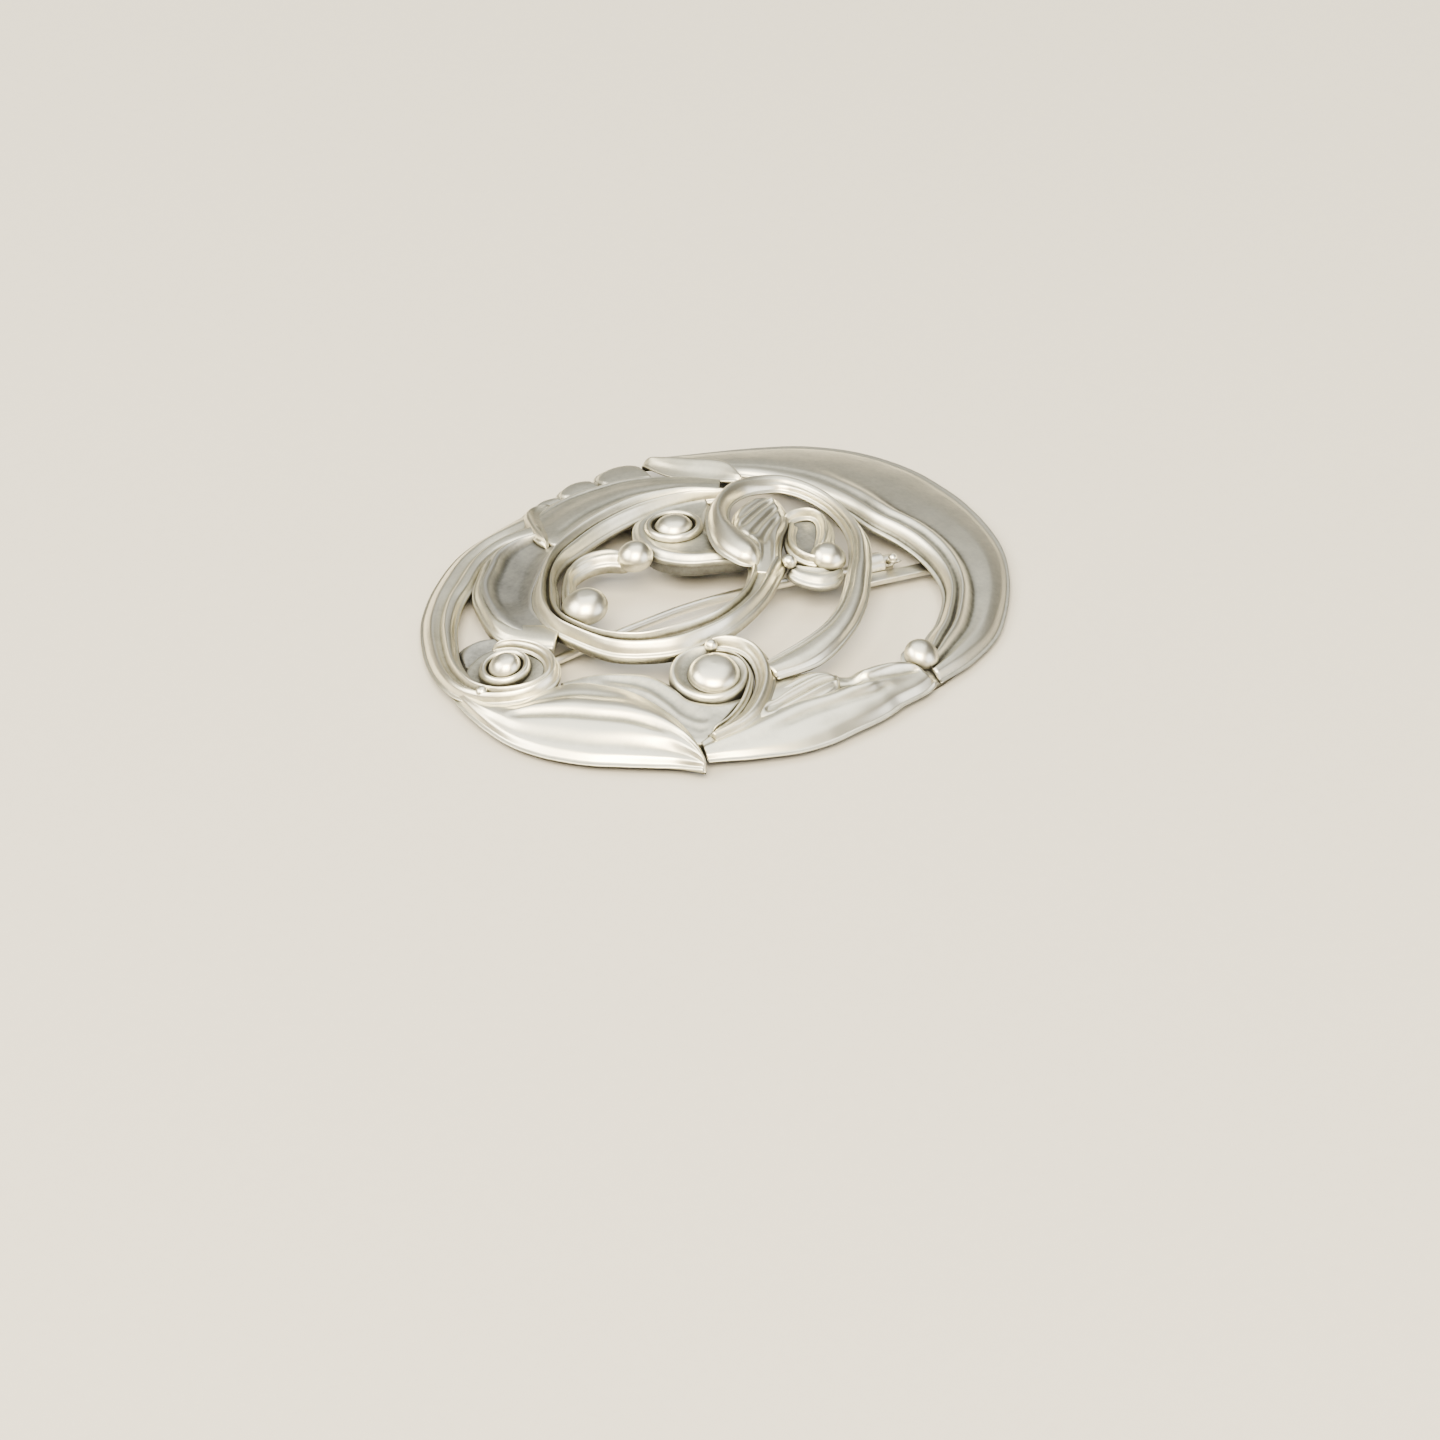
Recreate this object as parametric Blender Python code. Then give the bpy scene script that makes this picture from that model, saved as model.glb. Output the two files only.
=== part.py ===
# Oval openwork silver brooch: leaves, scrolling tendrils, beads and a bud on a domed oval,
# with a knuckle hinge, a sprung pin and a roll-over catch on the back.
#
# Frame: the oval's long axis is X, its short axis is Y, the face looks along +Z.
# The rim's underside is the plane z = 0 and the oval's centre is the origin.

import math

import bmesh
import bpy
from mathutils import Vector

# Overall sizes, in metres
LENGTH = 0.0560            # oval along X
WIDTH = 0.0460             # oval along Y
RIM_HEIGHT = 0.0013        # domed face above the back plane, at the rim
CROWN = 0.0030             # extra rise of the domed face at the centre

# Metal and fits
SOLDER_GAP = 0.0003        # between pieces that meet side by side
SEAT_GAP = 0.0001          # between pieces that sit on each other
RIM_DEPTH = 0.0016         # metal under the domed face along the rim, cut off flat at z = 0
PLATE_DEPTH = 0.0009       # metal under the domed face of the inner pieces
STEM_DEPTH = 0.0006        # metal under the domed face of the loop stem

# Beads and the dishes under them: radius of each
BERRY_RADIUS = 0.0020
DROP_RADIUS = 0.0015
CUP_BEAD_RADIUS = 0.0015
UPPER_VOLUTE_BEAD_RADIUS = 0.00135
LOWER_VOLUTE_BEAD_RADIUS = 0.0022
END_BEAD_RADIUS = 0.00145
KNOB_RADIUS = 0.00045
UPPER_DISH_RADIUS = 0.0032
LOWER_DISH_RADIUS = 0.0030
KNOB_TURN = 41.0           # degrees about the lower volute's bead, from X
RING_WIDTH = 0.0006        # of the rings round the cup's and the upper volute's beads
RING_GAP = 0.00015         # between a bead and its ring

# Hinge: three knuckles on one rivet, under the upper volute
HINGE_HEIGHT = 0.0008      # rivet axis above the back plane
HINGE_TURN = -13.0         # degrees about Z, from X to the pin
KNUCKLE_RADIUS = 0.00070
KNUCKLE_LENGTH = 0.0015
KNUCKLE_CLEARANCE = 0.0001
RIVET_RADIUS = 0.00035
RIVET_CLEARANCE = 0.00005
RIVET_HEAD_RADIUS = 0.00055
RIVET_HEAD_LENGTH = 0.0003
HINGE_PLATE_LENGTH = 0.0024
HINGE_PLATE_THICKNESS = 0.0004

# Pin
PIN_RADIUS = 0.00042
PIN_TIP_RADIUS = 0.00012
PIN_OVERSHOOT = 0.0030     # tip beyond the middle of the catch
PIN_BOW = 0.0006           # rise of the pin's middle above its straight line

# Catch: a split tube on a strip, with a split sleeve that rolls inside it
CATCH_HEIGHT = 0.00125     # tube axis above the back plane
CATCH_TURN = -25.0         # degrees about Z, from X to the tube's axis
CATCH_RADIUS = 0.00115
CATCH_WALL = 0.00035
CATCH_LENGTH = 0.0024
SLEEVE_WALL = 0.00025
SLEEVE_CLEARANCE = 0.00005
SLEEVE_OVERHANG = 0.0009   # sleeve end that carries the lever
CATCH_SLOT = 100.0         # degrees left open in both tubes, facing -Z
LEVER_RADIUS = 0.00028
LEVER_LENGTH = 0.0009
LEVER_LIFT = 45.0          # degrees of the lever above the back plane, catch open
LEVER_KNOB_RADIUS = 0.00042
CATCH_STRIP_WIDTH = 0.0014
CATCH_STRIP_REACH = 0.0060 # from the middle of the catch to under the crescent
CATCH_STRIP_THICKNESS = 0.0005

# Finishes of the silver: linear colour, roughness
POLISHED = ((0.86, 0.84, 0.77), 0.30)
SATIN = ((0.66, 0.66, 0.63), 0.42)
OXIDISED = ((0.42, 0.43, 0.43), 0.50)
DRAWN = ((0.74, 0.72, 0.66), 0.35)

# The layout below is drawn in millimetres on a 56 x 46 oval and scaled to LENGTH x WIDTH.
MM = 0.001
DRAWN_LENGTH = 56.0
DRAWN_WIDTH = 46.0
POINTS_PER_SPAN = 2        # smooth points made between two layout points


def clear_scene():
    for old in list(bpy.data.objects):
        bpy.data.objects.remove(old, do_unlink=True)


def silver(name, finish):
    colour, roughness = finish
    material = bpy.data.materials.new(name)
    material.use_nodes = True
    shader = material.node_tree.nodes["Principled BSDF"]
    shader.inputs["Base Color"].default_value = (*colour, 1.0)
    shader.inputs["Metallic"].default_value = 1.0
    shader.inputs["Roughness"].default_value = roughness
    return material


def on_plan(point):
    """A layout point in millimetres as metres on the brooch's own oval."""
    return (point[0] * LENGTH / DRAWN_LENGTH, point[1] * WIDTH / DRAWN_WIDTH)


def dome(x, y):
    """Height of the domed face over a point of the back plane."""
    return RIM_HEIGHT + CROWN * (1 - (2 * x / LENGTH) ** 2 - (2 * y / WIDTH) ** 2)


def smooth(points):
    """A Catmull-Rom curve through the points, with POINTS_PER_SPAN steps in each span."""
    ends = [points[0]] + list(points) + [points[-1]]
    curve = []
    for first, second, third, fourth in zip(ends, ends[1:], ends[2:], ends[3:]):
        for step in range(POINTS_PER_SPAN):
            u = step / POINTS_PER_SPAN
            curve.append(tuple(
                0.5 * (2 * b + (c - a) * u + (2 * a - 5 * b + 4 * c - d) * u ** 2
                       + (3 * b - a - 3 * c + d) * u ** 3)
                for a, b, c, d in zip(first, second, third, fourth)))
    curve.append(tuple(points[-1]))
    return curve


def beside(points, distance):
    """The same layout points, each moved sideways: a positive distance goes to the left."""
    moved = []
    for index, point in enumerate(points):
        before = Vector(points[max(index - 1, 0)])
        after = Vector(points[min(index + 1, len(points) - 1)])
        along = (after - before).normalized()
        moved.append((point[0] - along.y * distance, point[1] + along.x * distance))
    return moved


def blend(table, s):
    """The value at s of a table of (s, value) rows, on straight lines between them."""
    for (start, low), (end, high) in zip(table, table[1:]):
        if s <= end:
            return low + (high - low) * (s - start) / (end - start)
    return table[-1][1]


def add_object(name, mesh_data, finish):
    mesh = bpy.data.meshes.new(name)
    bmesh.ops.recalc_face_normals(mesh_data, faces=mesh_data.faces)
    if mesh_data.calc_volume(signed=True) < 0:
        bmesh.ops.reverse_faces(mesh_data, faces=mesh_data.faces)
    mesh_data.to_mesh(mesh)
    mesh_data.free()
    mesh.materials.append(silver(name + "_silver", finish))
    mesh.shade_smooth()
    mesh.set_sharp_from_angle(angle=math.radians(50))
    piece = bpy.data.objects.new(name, mesh)
    bpy.context.collection.objects.link(piece)
    return piece


def skin_loops(mesh_data, loops, closed_ends=True):
    """Joins a row of equal vertex loops into a tube and caps its two ends."""
    for loop, following in zip(loops, loops[1:]):
        count = len(loop)
        for index in range(count):
            after = (index + 1) % count
            mesh_data.faces.new((loop[index], loop[after], following[after], following[index]))
    if closed_ends:
        mesh_data.faces.new(list(reversed(loops[0])))
        mesh_data.faces.new(loops[-1])


def ribbon(name, edges, section, depth, finish, strength=((0, 1), (1, 1)), lift=((0, 0), (1, 0)),
           sink=((0, 0), (1, 0))):
    """A strip of metal between two edges that follows the dome.

    edges: rows of (first edge point, second edge point), in layout millimetres.
    section: rows of (share across, plain height, full height) above the domed face, in mm.
    depth: rows of (share across, metal under the domed face) in metres, cut off at z = 0.
    strength: how much of the full height shows along the strip; lift: mm added along it;
    sink: mm of metal added under it along the strip.
    """
    first = [on_plan(p) for p in smooth([row[0] for row in edges])]
    second = [on_plan(p) for p in smooth([row[1] for row in edges])]
    mesh_data = bmesh.new()
    loops = []
    for index, (start, end) in enumerate(zip(first, second)):
        s = index / (len(first) - 1)
        top = []
        back = []
        for share, plain, full in section:
            x = start[0] + (end[0] - start[0]) * share
            y = start[1] + (end[1] - start[1]) * share
            height = plain + (full - plain) * blend(strength, s) + blend(lift, s)
            top.append(mesh_data.verts.new((x, y, dome(x, y) + height * MM)))
            under = dome(x, y) - blend(depth, share) + (blend(lift, s) - blend(sink, s)) * MM
            back.append(mesh_data.verts.new((x, y, max(under, 0.0))))
        loops.append(top + back[::-1])
    skin_loops(mesh_data, loops)
    return add_object(name, mesh_data, finish)


def turned(name, centre, profile, finish, segments=20):
    """A turned piece standing on the dome: profile rows are (radius, height) in metres.

    A profile that starts and ends on the axis makes a solid, any other makes a ring.
    It stretches with the oval, so that it keeps its place among its neighbours.
    """
    cx, cy = on_plan(centre)
    stretch_x = LENGTH / (DRAWN_LENGTH * MM)
    stretch_y = WIDTH / (DRAWN_WIDTH * MM)
    mesh_data = bmesh.new()
    solid = profile[0][0] == 0
    rows = profile[1:-1] if solid else profile
    rings = []
    for radius, height in rows:
        ring = []
        for step in range(segments):
            angle = 2 * math.pi * step / segments
            x = cx + radius * math.cos(angle) * stretch_x
            y = cy + radius * math.sin(angle) * stretch_y
            ring.append(mesh_data.verts.new((x, y, dome(x, y) + height)))
        rings.append(ring)
    if solid:
        skin_loops(mesh_data, rings, closed_ends=False)
        for ring, (radius, height) in ((rings[0], profile[0]), (rings[-1], profile[-1])):
            pole = mesh_data.verts.new((cx, cy, dome(cx, cy) + height))
            for step in range(segments):
                mesh_data.faces.new((ring[step], ring[(step + 1) % segments], pole))
    else:
        skin_loops(mesh_data, rings + rings[:1], closed_ends=False)
    return add_object(name, mesh_data, finish)


def button(radius, top, seat):
    """Profile of a domed bead with a flat seat."""
    rise = top - seat
    rows = [(0, top)]
    for degrees in (30, 52, 72, 90):
        angle = math.radians(degrees)
        rows.append((radius * math.sin(angle), seat + rise * (0.25 + 0.75 * math.cos(angle))))
    return rows + [(radius * 0.85, seat), (0, seat)]


def ball(radius, middle, flatness):
    """Profile of a round bead, flattened in height."""
    rows = []
    for degrees in (0, 25, 50, 75, 100, 125, 150, 180):
        angle = math.radians(degrees)
        reach = radius * math.sin(angle) if 0 < degrees < 180 else 0
        rows.append((reach, middle + radius * flatness * math.cos(angle)))
    return rows


def tube(name, outer, inner, length, slot, finish, segments=20):
    """A tube along its local X, centred on its origin, with a slot open towards -Z."""
    mesh_data = bmesh.new()
    half = math.radians(slot) / 2
    count = segments + 1 if slot else segments
    sweep = 2 * math.pi - 2 * half
    ends = []
    for x in (-length / 2, length / 2):
        rings = []
        for radius in (outer, inner):
            ring = []
            for step in range(count):
                angle = -math.pi / 2 + half + sweep * step / segments
                place = (x, radius * math.cos(angle), radius * math.sin(angle))
                ring.append(mesh_data.verts.new(place))
            rings.append(ring)
        ends.append(rings)
    (outer_a, inner_a), (outer_b, inner_b) = ends
    for step in range(segments):
        after = (step + 1) % count
        mesh_data.faces.new((outer_a[step], outer_a[after], outer_b[after], outer_b[step]))
        mesh_data.faces.new((inner_a[step], inner_a[after], inner_b[after], inner_b[step]))
        mesh_data.faces.new((outer_a[step], outer_a[after], inner_a[after], inner_a[step]))
        mesh_data.faces.new((outer_b[step], outer_b[after], inner_b[after], inner_b[step]))
    if slot:
        for side in (0, segments):
            mesh_data.faces.new((outer_a[side], outer_b[side], inner_b[side], inner_a[side]))
    return add_object(name, mesh_data, finish)


def rod(name, rows, finish, segments=14):
    """A round rod along its local X: rows are (x, offset y, offset z, radius)."""
    mesh_data = bmesh.new()
    rings = []
    for x, y, z, radius in rows:
        ring = []
        for step in range(segments):
            angle = 2 * math.pi * step / segments
            place = (x, y + radius * math.cos(angle), z + radius * math.sin(angle))
            ring.append(mesh_data.verts.new(place))
        rings.append(ring)
    skin_loops(mesh_data, rings)
    return add_object(name, mesh_data, finish)


def plate(name, corners, low, high, finish):
    """A flat plate with the given plan corners in metres, between two heights."""
    mesh_data = bmesh.new()
    loops = []
    for height in (low, high):
        loops.append([mesh_data.verts.new((x, y, height)) for x, y in corners])
    skin_loops(mesh_data, loops)
    return add_object(name, mesh_data, finish)


# Layout, in millimetres. Each row is (outer edge point, inner edge point).

CRESCENT = [((14.4, 19.6), (15.6, 10.7)), ((17.5, 16.9), (15.8, 9.3)), ((20.8, 14.6), (16.1, 7.6)),
            ((24.4, 11.9), (16.4, 5.2)), ((27.0, 7.6), (16.4, 2.2)), ((28.0, 2.5), (16.2, -1.0)),
            ((27.7, -1.9), (15.8, -4.0)), ((26.8, -6.2), (16.0, -7.5)), ((24.3, -12.0), (15.3, -11.4)),
            ((19.8, -17.1), (13.3, -14.8)), ((13.7, -21.3), (9.7, -17.2)), ((6.7, -22.9), (6.7, -18.2))]

FOLD_LEAF = [((13.1, 9.6), (13.6, 9.6)), ((13.1, 10.9), (14.2, 11.0)), ((12.9, 12.3), (14.7, 12.6)),
             ((12.3, 13.8), (14.7, 14.3)), ((11.3, 15.2), (13.8, 16.3)), ((10.6, 16.6), (13.1, 17.8)),
             ((10.9, 18.6), (12.8, 19.2)), ((11.9, 20.3), (12.5, 20.3))]

LOOP = [((10.0, 9.3), (8.9, 8.6)), ((8.3, 11.2), (7.3, 9.2)), ((6.5, 12.9), (5.8, 9.7)),
        ((3.9, 14.4), (3.0, 10.6)), ((1.2, 14.8), (0.3, 11.2)), ((-1.6, 14.8), (-2.4, 11.2)),
        ((-4.4, 14.4), (-5.2, 11.0)), ((-7.2, 13.4), (-7.8, 10.7)), ((-10.0, 11.7), (-10.1, 9.6)),
        ((-12.9, 9.7), (-11.7, 7.5)), ((-14.8, 7.4), (-13.2, 5.8)), ((-15.9, 4.6), (-14.0, 3.9)),
        ((-16.0, 1.4), (-13.8, 1.2)), ((-15.4, -2.1), (-13.0, -0.7)), ((-13.8, -4.5), (-11.4, -2.6)),
        ((-11.6, -6.4), (-9.2, -3.7)), ((-9.0, -7.3), (-7.4, -4.4)), ((-6.3, -7.7), (-5.7, -4.9)),
        ((-3.7, -7.5), (-3.9, -4.9)), ((-1.0, -6.9), (-1.6, -4.5)), ((1.2, -6.0), (0.6, -3.3)),
        ((3.2, -5.0), (2.2, -2.0))]

TOP_LEAF_EDGE = [(12.6, 11.6), (10.7, 14.9), (9.4, 16.9), (7.6, 18.8), (4.9, 20.1), (2.2, 20.8),
                 (-0.6, 20.8), (-2.5, 19.9), (-4.4, 17.0)]

LEAF_TIPS = [[((-2.4, 20.9), (-2.3, 20.5)), ((-0.8, 22.1), (-1.0, 21.2)), ((0.7, 22.5), (0.6, 21.4)),
              ((1.9, 22.0), (1.9, 21.3))],
             [((2.4, 21.9), (2.4, 21.2)), ((3.0, 22.7), (3.3, 21.0)), ((4.4, 23.0), (4.3, 20.8)),
              ((5.6, 22.5), (5.2, 20.5)), ((6.0, 21.4), (5.9, 20.2))],
             [((6.35, 21.3), (6.2, 20.0)), ((7.6, 22.3), (7.4, 19.6)), ((9.4, 22.4), (8.5, 18.9)),
              ((10.7, 21.4), (9.3, 18.1)), ((10.7, 19.9), (9.8, 17.6))]]

OUTER_TENDRIL = [((-6.2, -14.9), (-6.1, -12.4)), ((-4.0, -15.6), (-4.5, -12.4)),
                 ((-1.7, -15.6), (-2.3, -12.5)),
                 ((0.9, -15.0), (0.5, -12.3)), ((3.6, -14.0), (3.1, -11.5)),
                 ((6.2, -12.5), (5.4, -10.2)),
                 ((8.8, -10.5), (7.5, -8.7)), ((11.0, -8.6), (9.8, -6.9)), ((13.2, -6.2), (11.7, -4.8)),
                 ((14.8, -3.1), (13.1, -2.3)), ((15.8, 0.1), (13.8, 0.2)), ((16.0, 3.1), (13.8, 2.8)),
                 ((15.4, 5.6), (13.1, 4.5)), ((13.4, 7.3), (11.4, 5.3)), ((10.5, 8.0), (9.6, 5.6)),
                 ((7.9, 7.4), (7.5, 5.1)), ((5.5, 6.0), (5.7, 4.0)), ((3.3, 4.1), (4.4, 2.6)),
                 ((1.7, 2.3), (3.6, 1.2)), ((1.1, 0.4), (3.3, 0.2)), ((1.5, -0.9), (2.8, -0.8))]

LEFT_STEM = [((-3.1, 21.5), (-5.4, 16.9)), ((-6.8, 21.8), (-7.9, 18.4)), ((-10.5, 21.5), (-11.2, 17.8)),
             ((-14.3, 20.1), (-14.3, 15.9)), ((-18.1, 17.8), (-17.2, 14.6)),
             ((-21.1, 15.3), (-19.6, 12.6)),
             ((-23.8, 12.0), (-21.4, 10.6)), ((-25.8, 8.4), (-23.4, 7.9)), ((-26.6, 5.2), (-24.5, 5.0)),
             ((-26.1, 2.4), (-24.2, 2.7)), ((-24.5, 0.2), (-23.0, 1.3)), ((-22.5, -1.0), (-21.6, 0.6)),
             ((-20.5, -1.0), (-20.2, 0.7)), ((-18.8, 0.5), (-19.2, 2.0)), ((-18.1, 3.1), (-19.0, 3.6)),
             ((-18.6, 5.6), (-19.4, 5.5)), ((-20.0, 7.4), (-20.4, 6.9))]

HOLLOW_PETAL = [((-17.5, 4.4), (-16.4, 4.6)), ((-18.6, 7.2), (-15.7, 6.6)),
                ((-17.9, 10.0), (-14.7, 8.4)),
                ((-16.5, 12.6), (-13.2, 10.1)), ((-14.7, 15.0), (-11.4, 11.4)),
                ((-12.1, 16.6), (-9.5, 12.6)),
                ((-9.8, 17.4), (-7.9, 13.5)), ((-8.0, 17.3), (-6.4, 14.3)), ((-6.5, 16.3), (-5.5, 14.8))]

VOLUTE_HOOD = [((-22.4, 8.3), (-22.4, 7.6)), ((-21.4, 9.7), (-21.7, 7.6)), ((-20.6, 9.4), (-21.0, 7.8)),
               ((-19.9, 8.5), (-20.5, 7.9))]

INNER_TENDRIL = [((-11.2, 7.7), (-10.2, 6.9)), ((-9.7, 9.0), (-9.5, 8.1)), ((-8.2, 9.9), (-8.3, 8.4)),
                 ((-6.6, 10.1), (-6.9, 8.2)), ((-5.1, 9.5), (-5.9, 7.5)), ((-4.4, 8.2), (-5.6, 6.9))]

CUP = [((7.0, 8.7), (7.2, 8.2)), ((4.6, 9.6), (6.2, 7.2)), ((2.2, 10.4), (5.2, 6.4)),
       ((0.2, 10.6), (4.5, 5.8)), ((-0.9, 9.3), (3.8, 5.2)), ((-1.7, 7.8), (3.2, 4.6)),
       ((-1.9, 6.0), (2.6, 4.0)), ((-2.2, 4.2), (2.0, 3.4)), ((-1.7, 2.3), (1.3, 2.6)),
       ((-0.6, 0.9), (0.8, 1.8)), ((0.3, 0.5), (0.6, 1.0))]

BUD = [((2.5, -1.9), (3.5, -4.9)), ((3.6, -1.3), (5.5, -4.0)), ((4.4, -0.2), (7.9, -3.4)),
       ((5.2, 1.2), (10.3, -2.7)), ((5.9, 2.5), (12.2, -1.5)), ((6.9, 3.6), (13.0, 0.2)),
       ((8.0, 4.1), (13.0, 1.5)), ((9.4, 4.0), (12.0, 2.5))]

BUD_LIP = [((10.9, -2.9), (10.2, -3.2)), ((11.3, -4.0), (8.8, -3.9)), ((10.6, -5.2), (7.6, -4.3)),
           ((9.5, -6.2), (6.6, -4.5)), ((8.0, -6.9), (5.6, -4.6)), ((6.4, -7.1), (4.8, -4.9))]

BUD_UNDER_PETAL = [((4.2, -5.9), (5.0, -5.5)), ((4.1, -7.0), (5.5, -6.3)), ((4.8, -8.0), (6.1, -7.0)),
                   ((5.9, -8.5), (6.7, -7.4)), ((7.1, -8.3), (7.2, -7.7))]

LARGE_LEAF = [((-27.2, 6.6), (-26.85, 5.7)), ((-27.9, 4.2), (-26.9, 3.6)), ((-28.0, 1.6), (-26.1, 1.4)),
              ((-28.0, -1.3), (-24.6, -0.7)), ((-27.9, -4.2), (-22.5, -1.8)),
              ((-27.0, -6.8), (-20.6, -2.7)),
              ((-25.6, -9.3), (-19.1, -4.6)), ((-24.0, -11.6), (-18.1, -7.0)),
              ((-22.3, -13.6), (-17.5, -9.8)),
              ((-21.2, -15.2), (-17.4, -12.6)), ((-20.5, -16.6), (-18.0, -15.0)),
              ((-20.1, -17.9), (-19.3, -17.5))]

INNER_LOBE = [((-19.0, -1.7), (-19.9, -3.0)), ((-17.7, -2.3), (-19.0, -4.8)),
              ((-16.1, -3.9), (-18.4, -6.9)),
              ((-14.9, -6.2), (-18.1, -9.0)), ((-14.3, -8.8), (-18.0, -11.0)),
              ((-14.3, -10.4), (-18.0, -12.6)),
              ((-14.2, -12.3), (-17.8, -13.8)), ((-14.3, -13.3), (-17.0, -14.6))]

LOWER_SCROLL = [((-7.2, -8.3), (-8.0, -8.9)), ((-5.9, -9.4), (-7.5, -9.6)),
                ((-5.9, -10.9), (-7.7, -10.9)),
                ((-7.0, -12.7), (-8.6, -12.3)), ((-8.9, -14.3), (-10.2, -13.4)),
                ((-11.2, -15.5), (-12.0, -14.2)),
                ((-13.7, -15.9), (-14.0, -14.5)), ((-16.2, -15.4), (-15.9, -14.6))]

LOWER_LEAF = [((-17.3, -16.6), (-16.2, -15.8)), ((-14.6, -19.3), (-13.0, -16.2)),
              ((-11.5, -21.4), (-9.6, -15.8)),
              ((-8.7, -22.4), (-7.2, -15.2)), ((-6.2, -22.9), (-5.4, -15.0)),
              ((-4.0, -22.9), (-3.8, -15.3)),
              ((-2.0, -22.9), (-2.9, -16.2)), ((-0.6, -23.0), (-2.6, -17.1)),
              ((0.7, -23.0), (-1.9, -17.7)),
              ((2.0, -22.9), (-0.2, -18.1)), ((3.1, -22.8), (1.6, -18.6)), ((3.8, -22.4), (3.0, -19.9))]

END_COLLAR = [((4.4, -22.2), (3.8, -21.2)), ((5.1, -22.4), (3.7, -19.5)), ((5.8, -22.4), (4.4, -18.2)),
              ((6.3, -22.8), (6.3, -18.1))]

HINGE = (-20.3, 4.1)
CATCH = (12.8, -6.6)
UPPER_VOLUTE = (-21.8, 4.0)
LOWER_VOLUTE = (-11.0, -9.9)
BERRY = (-11.6, 4.3)
DROP = (-3.7, 6.2)
CUP_CENTRE = (2.2, 7.2)
END_BEAD = (5.0, -19.9)


def build_leaves():
    flat_depth = ((0, PLATE_DEPTH), (1, PLATE_DEPTH))
    rim_depth = ((0, RIM_DEPTH), (0.14, RIM_DEPTH), (0.4, PLATE_DEPTH), (1, PLATE_DEPTH))
    ribbon("crescent_band", CRESCENT,
           [(0, -0.6, -0.6), (0.14, -0.3, -0.25), (0.35, 0.0, 0.15), (0.52, 0.1, 0.35), (0.63, 0.0, 0.95),
            (0.71, -0.1, 0.5), (0.79, -0.2, 0.9), (0.88, -0.3, 0.3), (1, -0.5, -0.5)],
           rim_depth, SATIN, strength=((0, 0), (0.3, 0.3), (0.45, 1), (1, 0.7)))
    ribbon("fold_leaf", FOLD_LEAF,
           [(0, -0.3, -0.3), (0.3, 0.2, 0.3), (0.7, 0.3, 0.6), (1, -0.3, 0.0)],
           ((0, RIM_DEPTH), (1, RIM_DEPTH)), POLISHED)
    neighbour = [row[0] for row in LOOP[:7]]
    inner = beside(neighbour, -SOLDER_GAP / MM) + [(-4.8, 14.9), (-5.0, 15.5)]
    ribbon("top_leaf", list(zip(TOP_LEAF_EDGE, inner)),
           [(0, -0.3, -0.3), (0.2, -0.05, -0.05), (0.5, 0.1, 0.1), (0.8, 0.0, 0.0), (1, -0.1, -0.1)],
           flat_depth, SATIN)
    for number, tip in enumerate(LEAF_TIPS, start=1):
        ribbon(f"leaf_tip_{number}", tip, [(0, -0.7, -0.7), (0.5, -0.35, -0.35), (1, -0.45, -0.45)],
               ((0, RIM_DEPTH), (1, RIM_DEPTH)), SATIN)
    ribbon("hollow_petal", HOLLOW_PETAL,
           [(0, 0.0, 0.1), (0.18, 0.2, 0.45), (0.35, -0.1, -0.2), (0.6, -0.2, -0.55), (0.85, -0.2, -0.4),
            (1, -0.1, -0.1)],
           flat_depth, OXIDISED, strength=((0, 0), (0.25, 0.6), (0.5, 1), (0.8, 1), (1, 0.2)))
    ribbon("large_leaf", LARGE_LEAF,
           [(0, -0.6, -0.6), (0.1, -0.1, 0.0), (0.22, 0.0, 0.25), (0.38, 0.4, 0.35), (0.52, 0.6, 1.0),
            (0.66, 0.6, 0.65), (0.85, 0.5, 0.75), (1, 0.3, 0.4)],
           ((0, RIM_DEPTH), (0.16, RIM_DEPTH), (0.5, PLATE_DEPTH), (0.76, 0.0), (1, 0.0)),
           POLISHED, strength=((0, 0), (0.25, 0.4), (0.5, 1), (1, 0.6)))
    ribbon("inner_lobe", INNER_LOBE,
           [(0, -0.4, -0.4), (0.3, -0.2, -0.15), (0.65, -0.2, -0.2), (1, -0.25, -0.25)],
           flat_depth, SATIN)
    ribbon("lower_leaf", LOWER_LEAF,
           [(0, -0.7, -0.7), (0.12, -0.35, -0.2), (0.35, -0.15, 0.05), (0.5, -0.2, -0.2), (0.7, -0.2, -0.12),
            (0.88, -0.2, -0.15), (1, -0.45, -0.45)],
           ((0, RIM_DEPTH), (0.14, RIM_DEPTH), (0.45, PLATE_DEPTH), (1, PLATE_DEPTH)),
           POLISHED, strength=((0, 0.3), (0.3, 1), (1, 1)))
    ribbon("end_collar", END_COLLAR,
           [(0, -0.7, -0.7), (0.5, -0.5, -0.5), (1, -0.6, -0.6)],
           ((0, RIM_DEPTH), (0.3, RIM_DEPTH), (1, PLATE_DEPTH)), SATIN)


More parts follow.
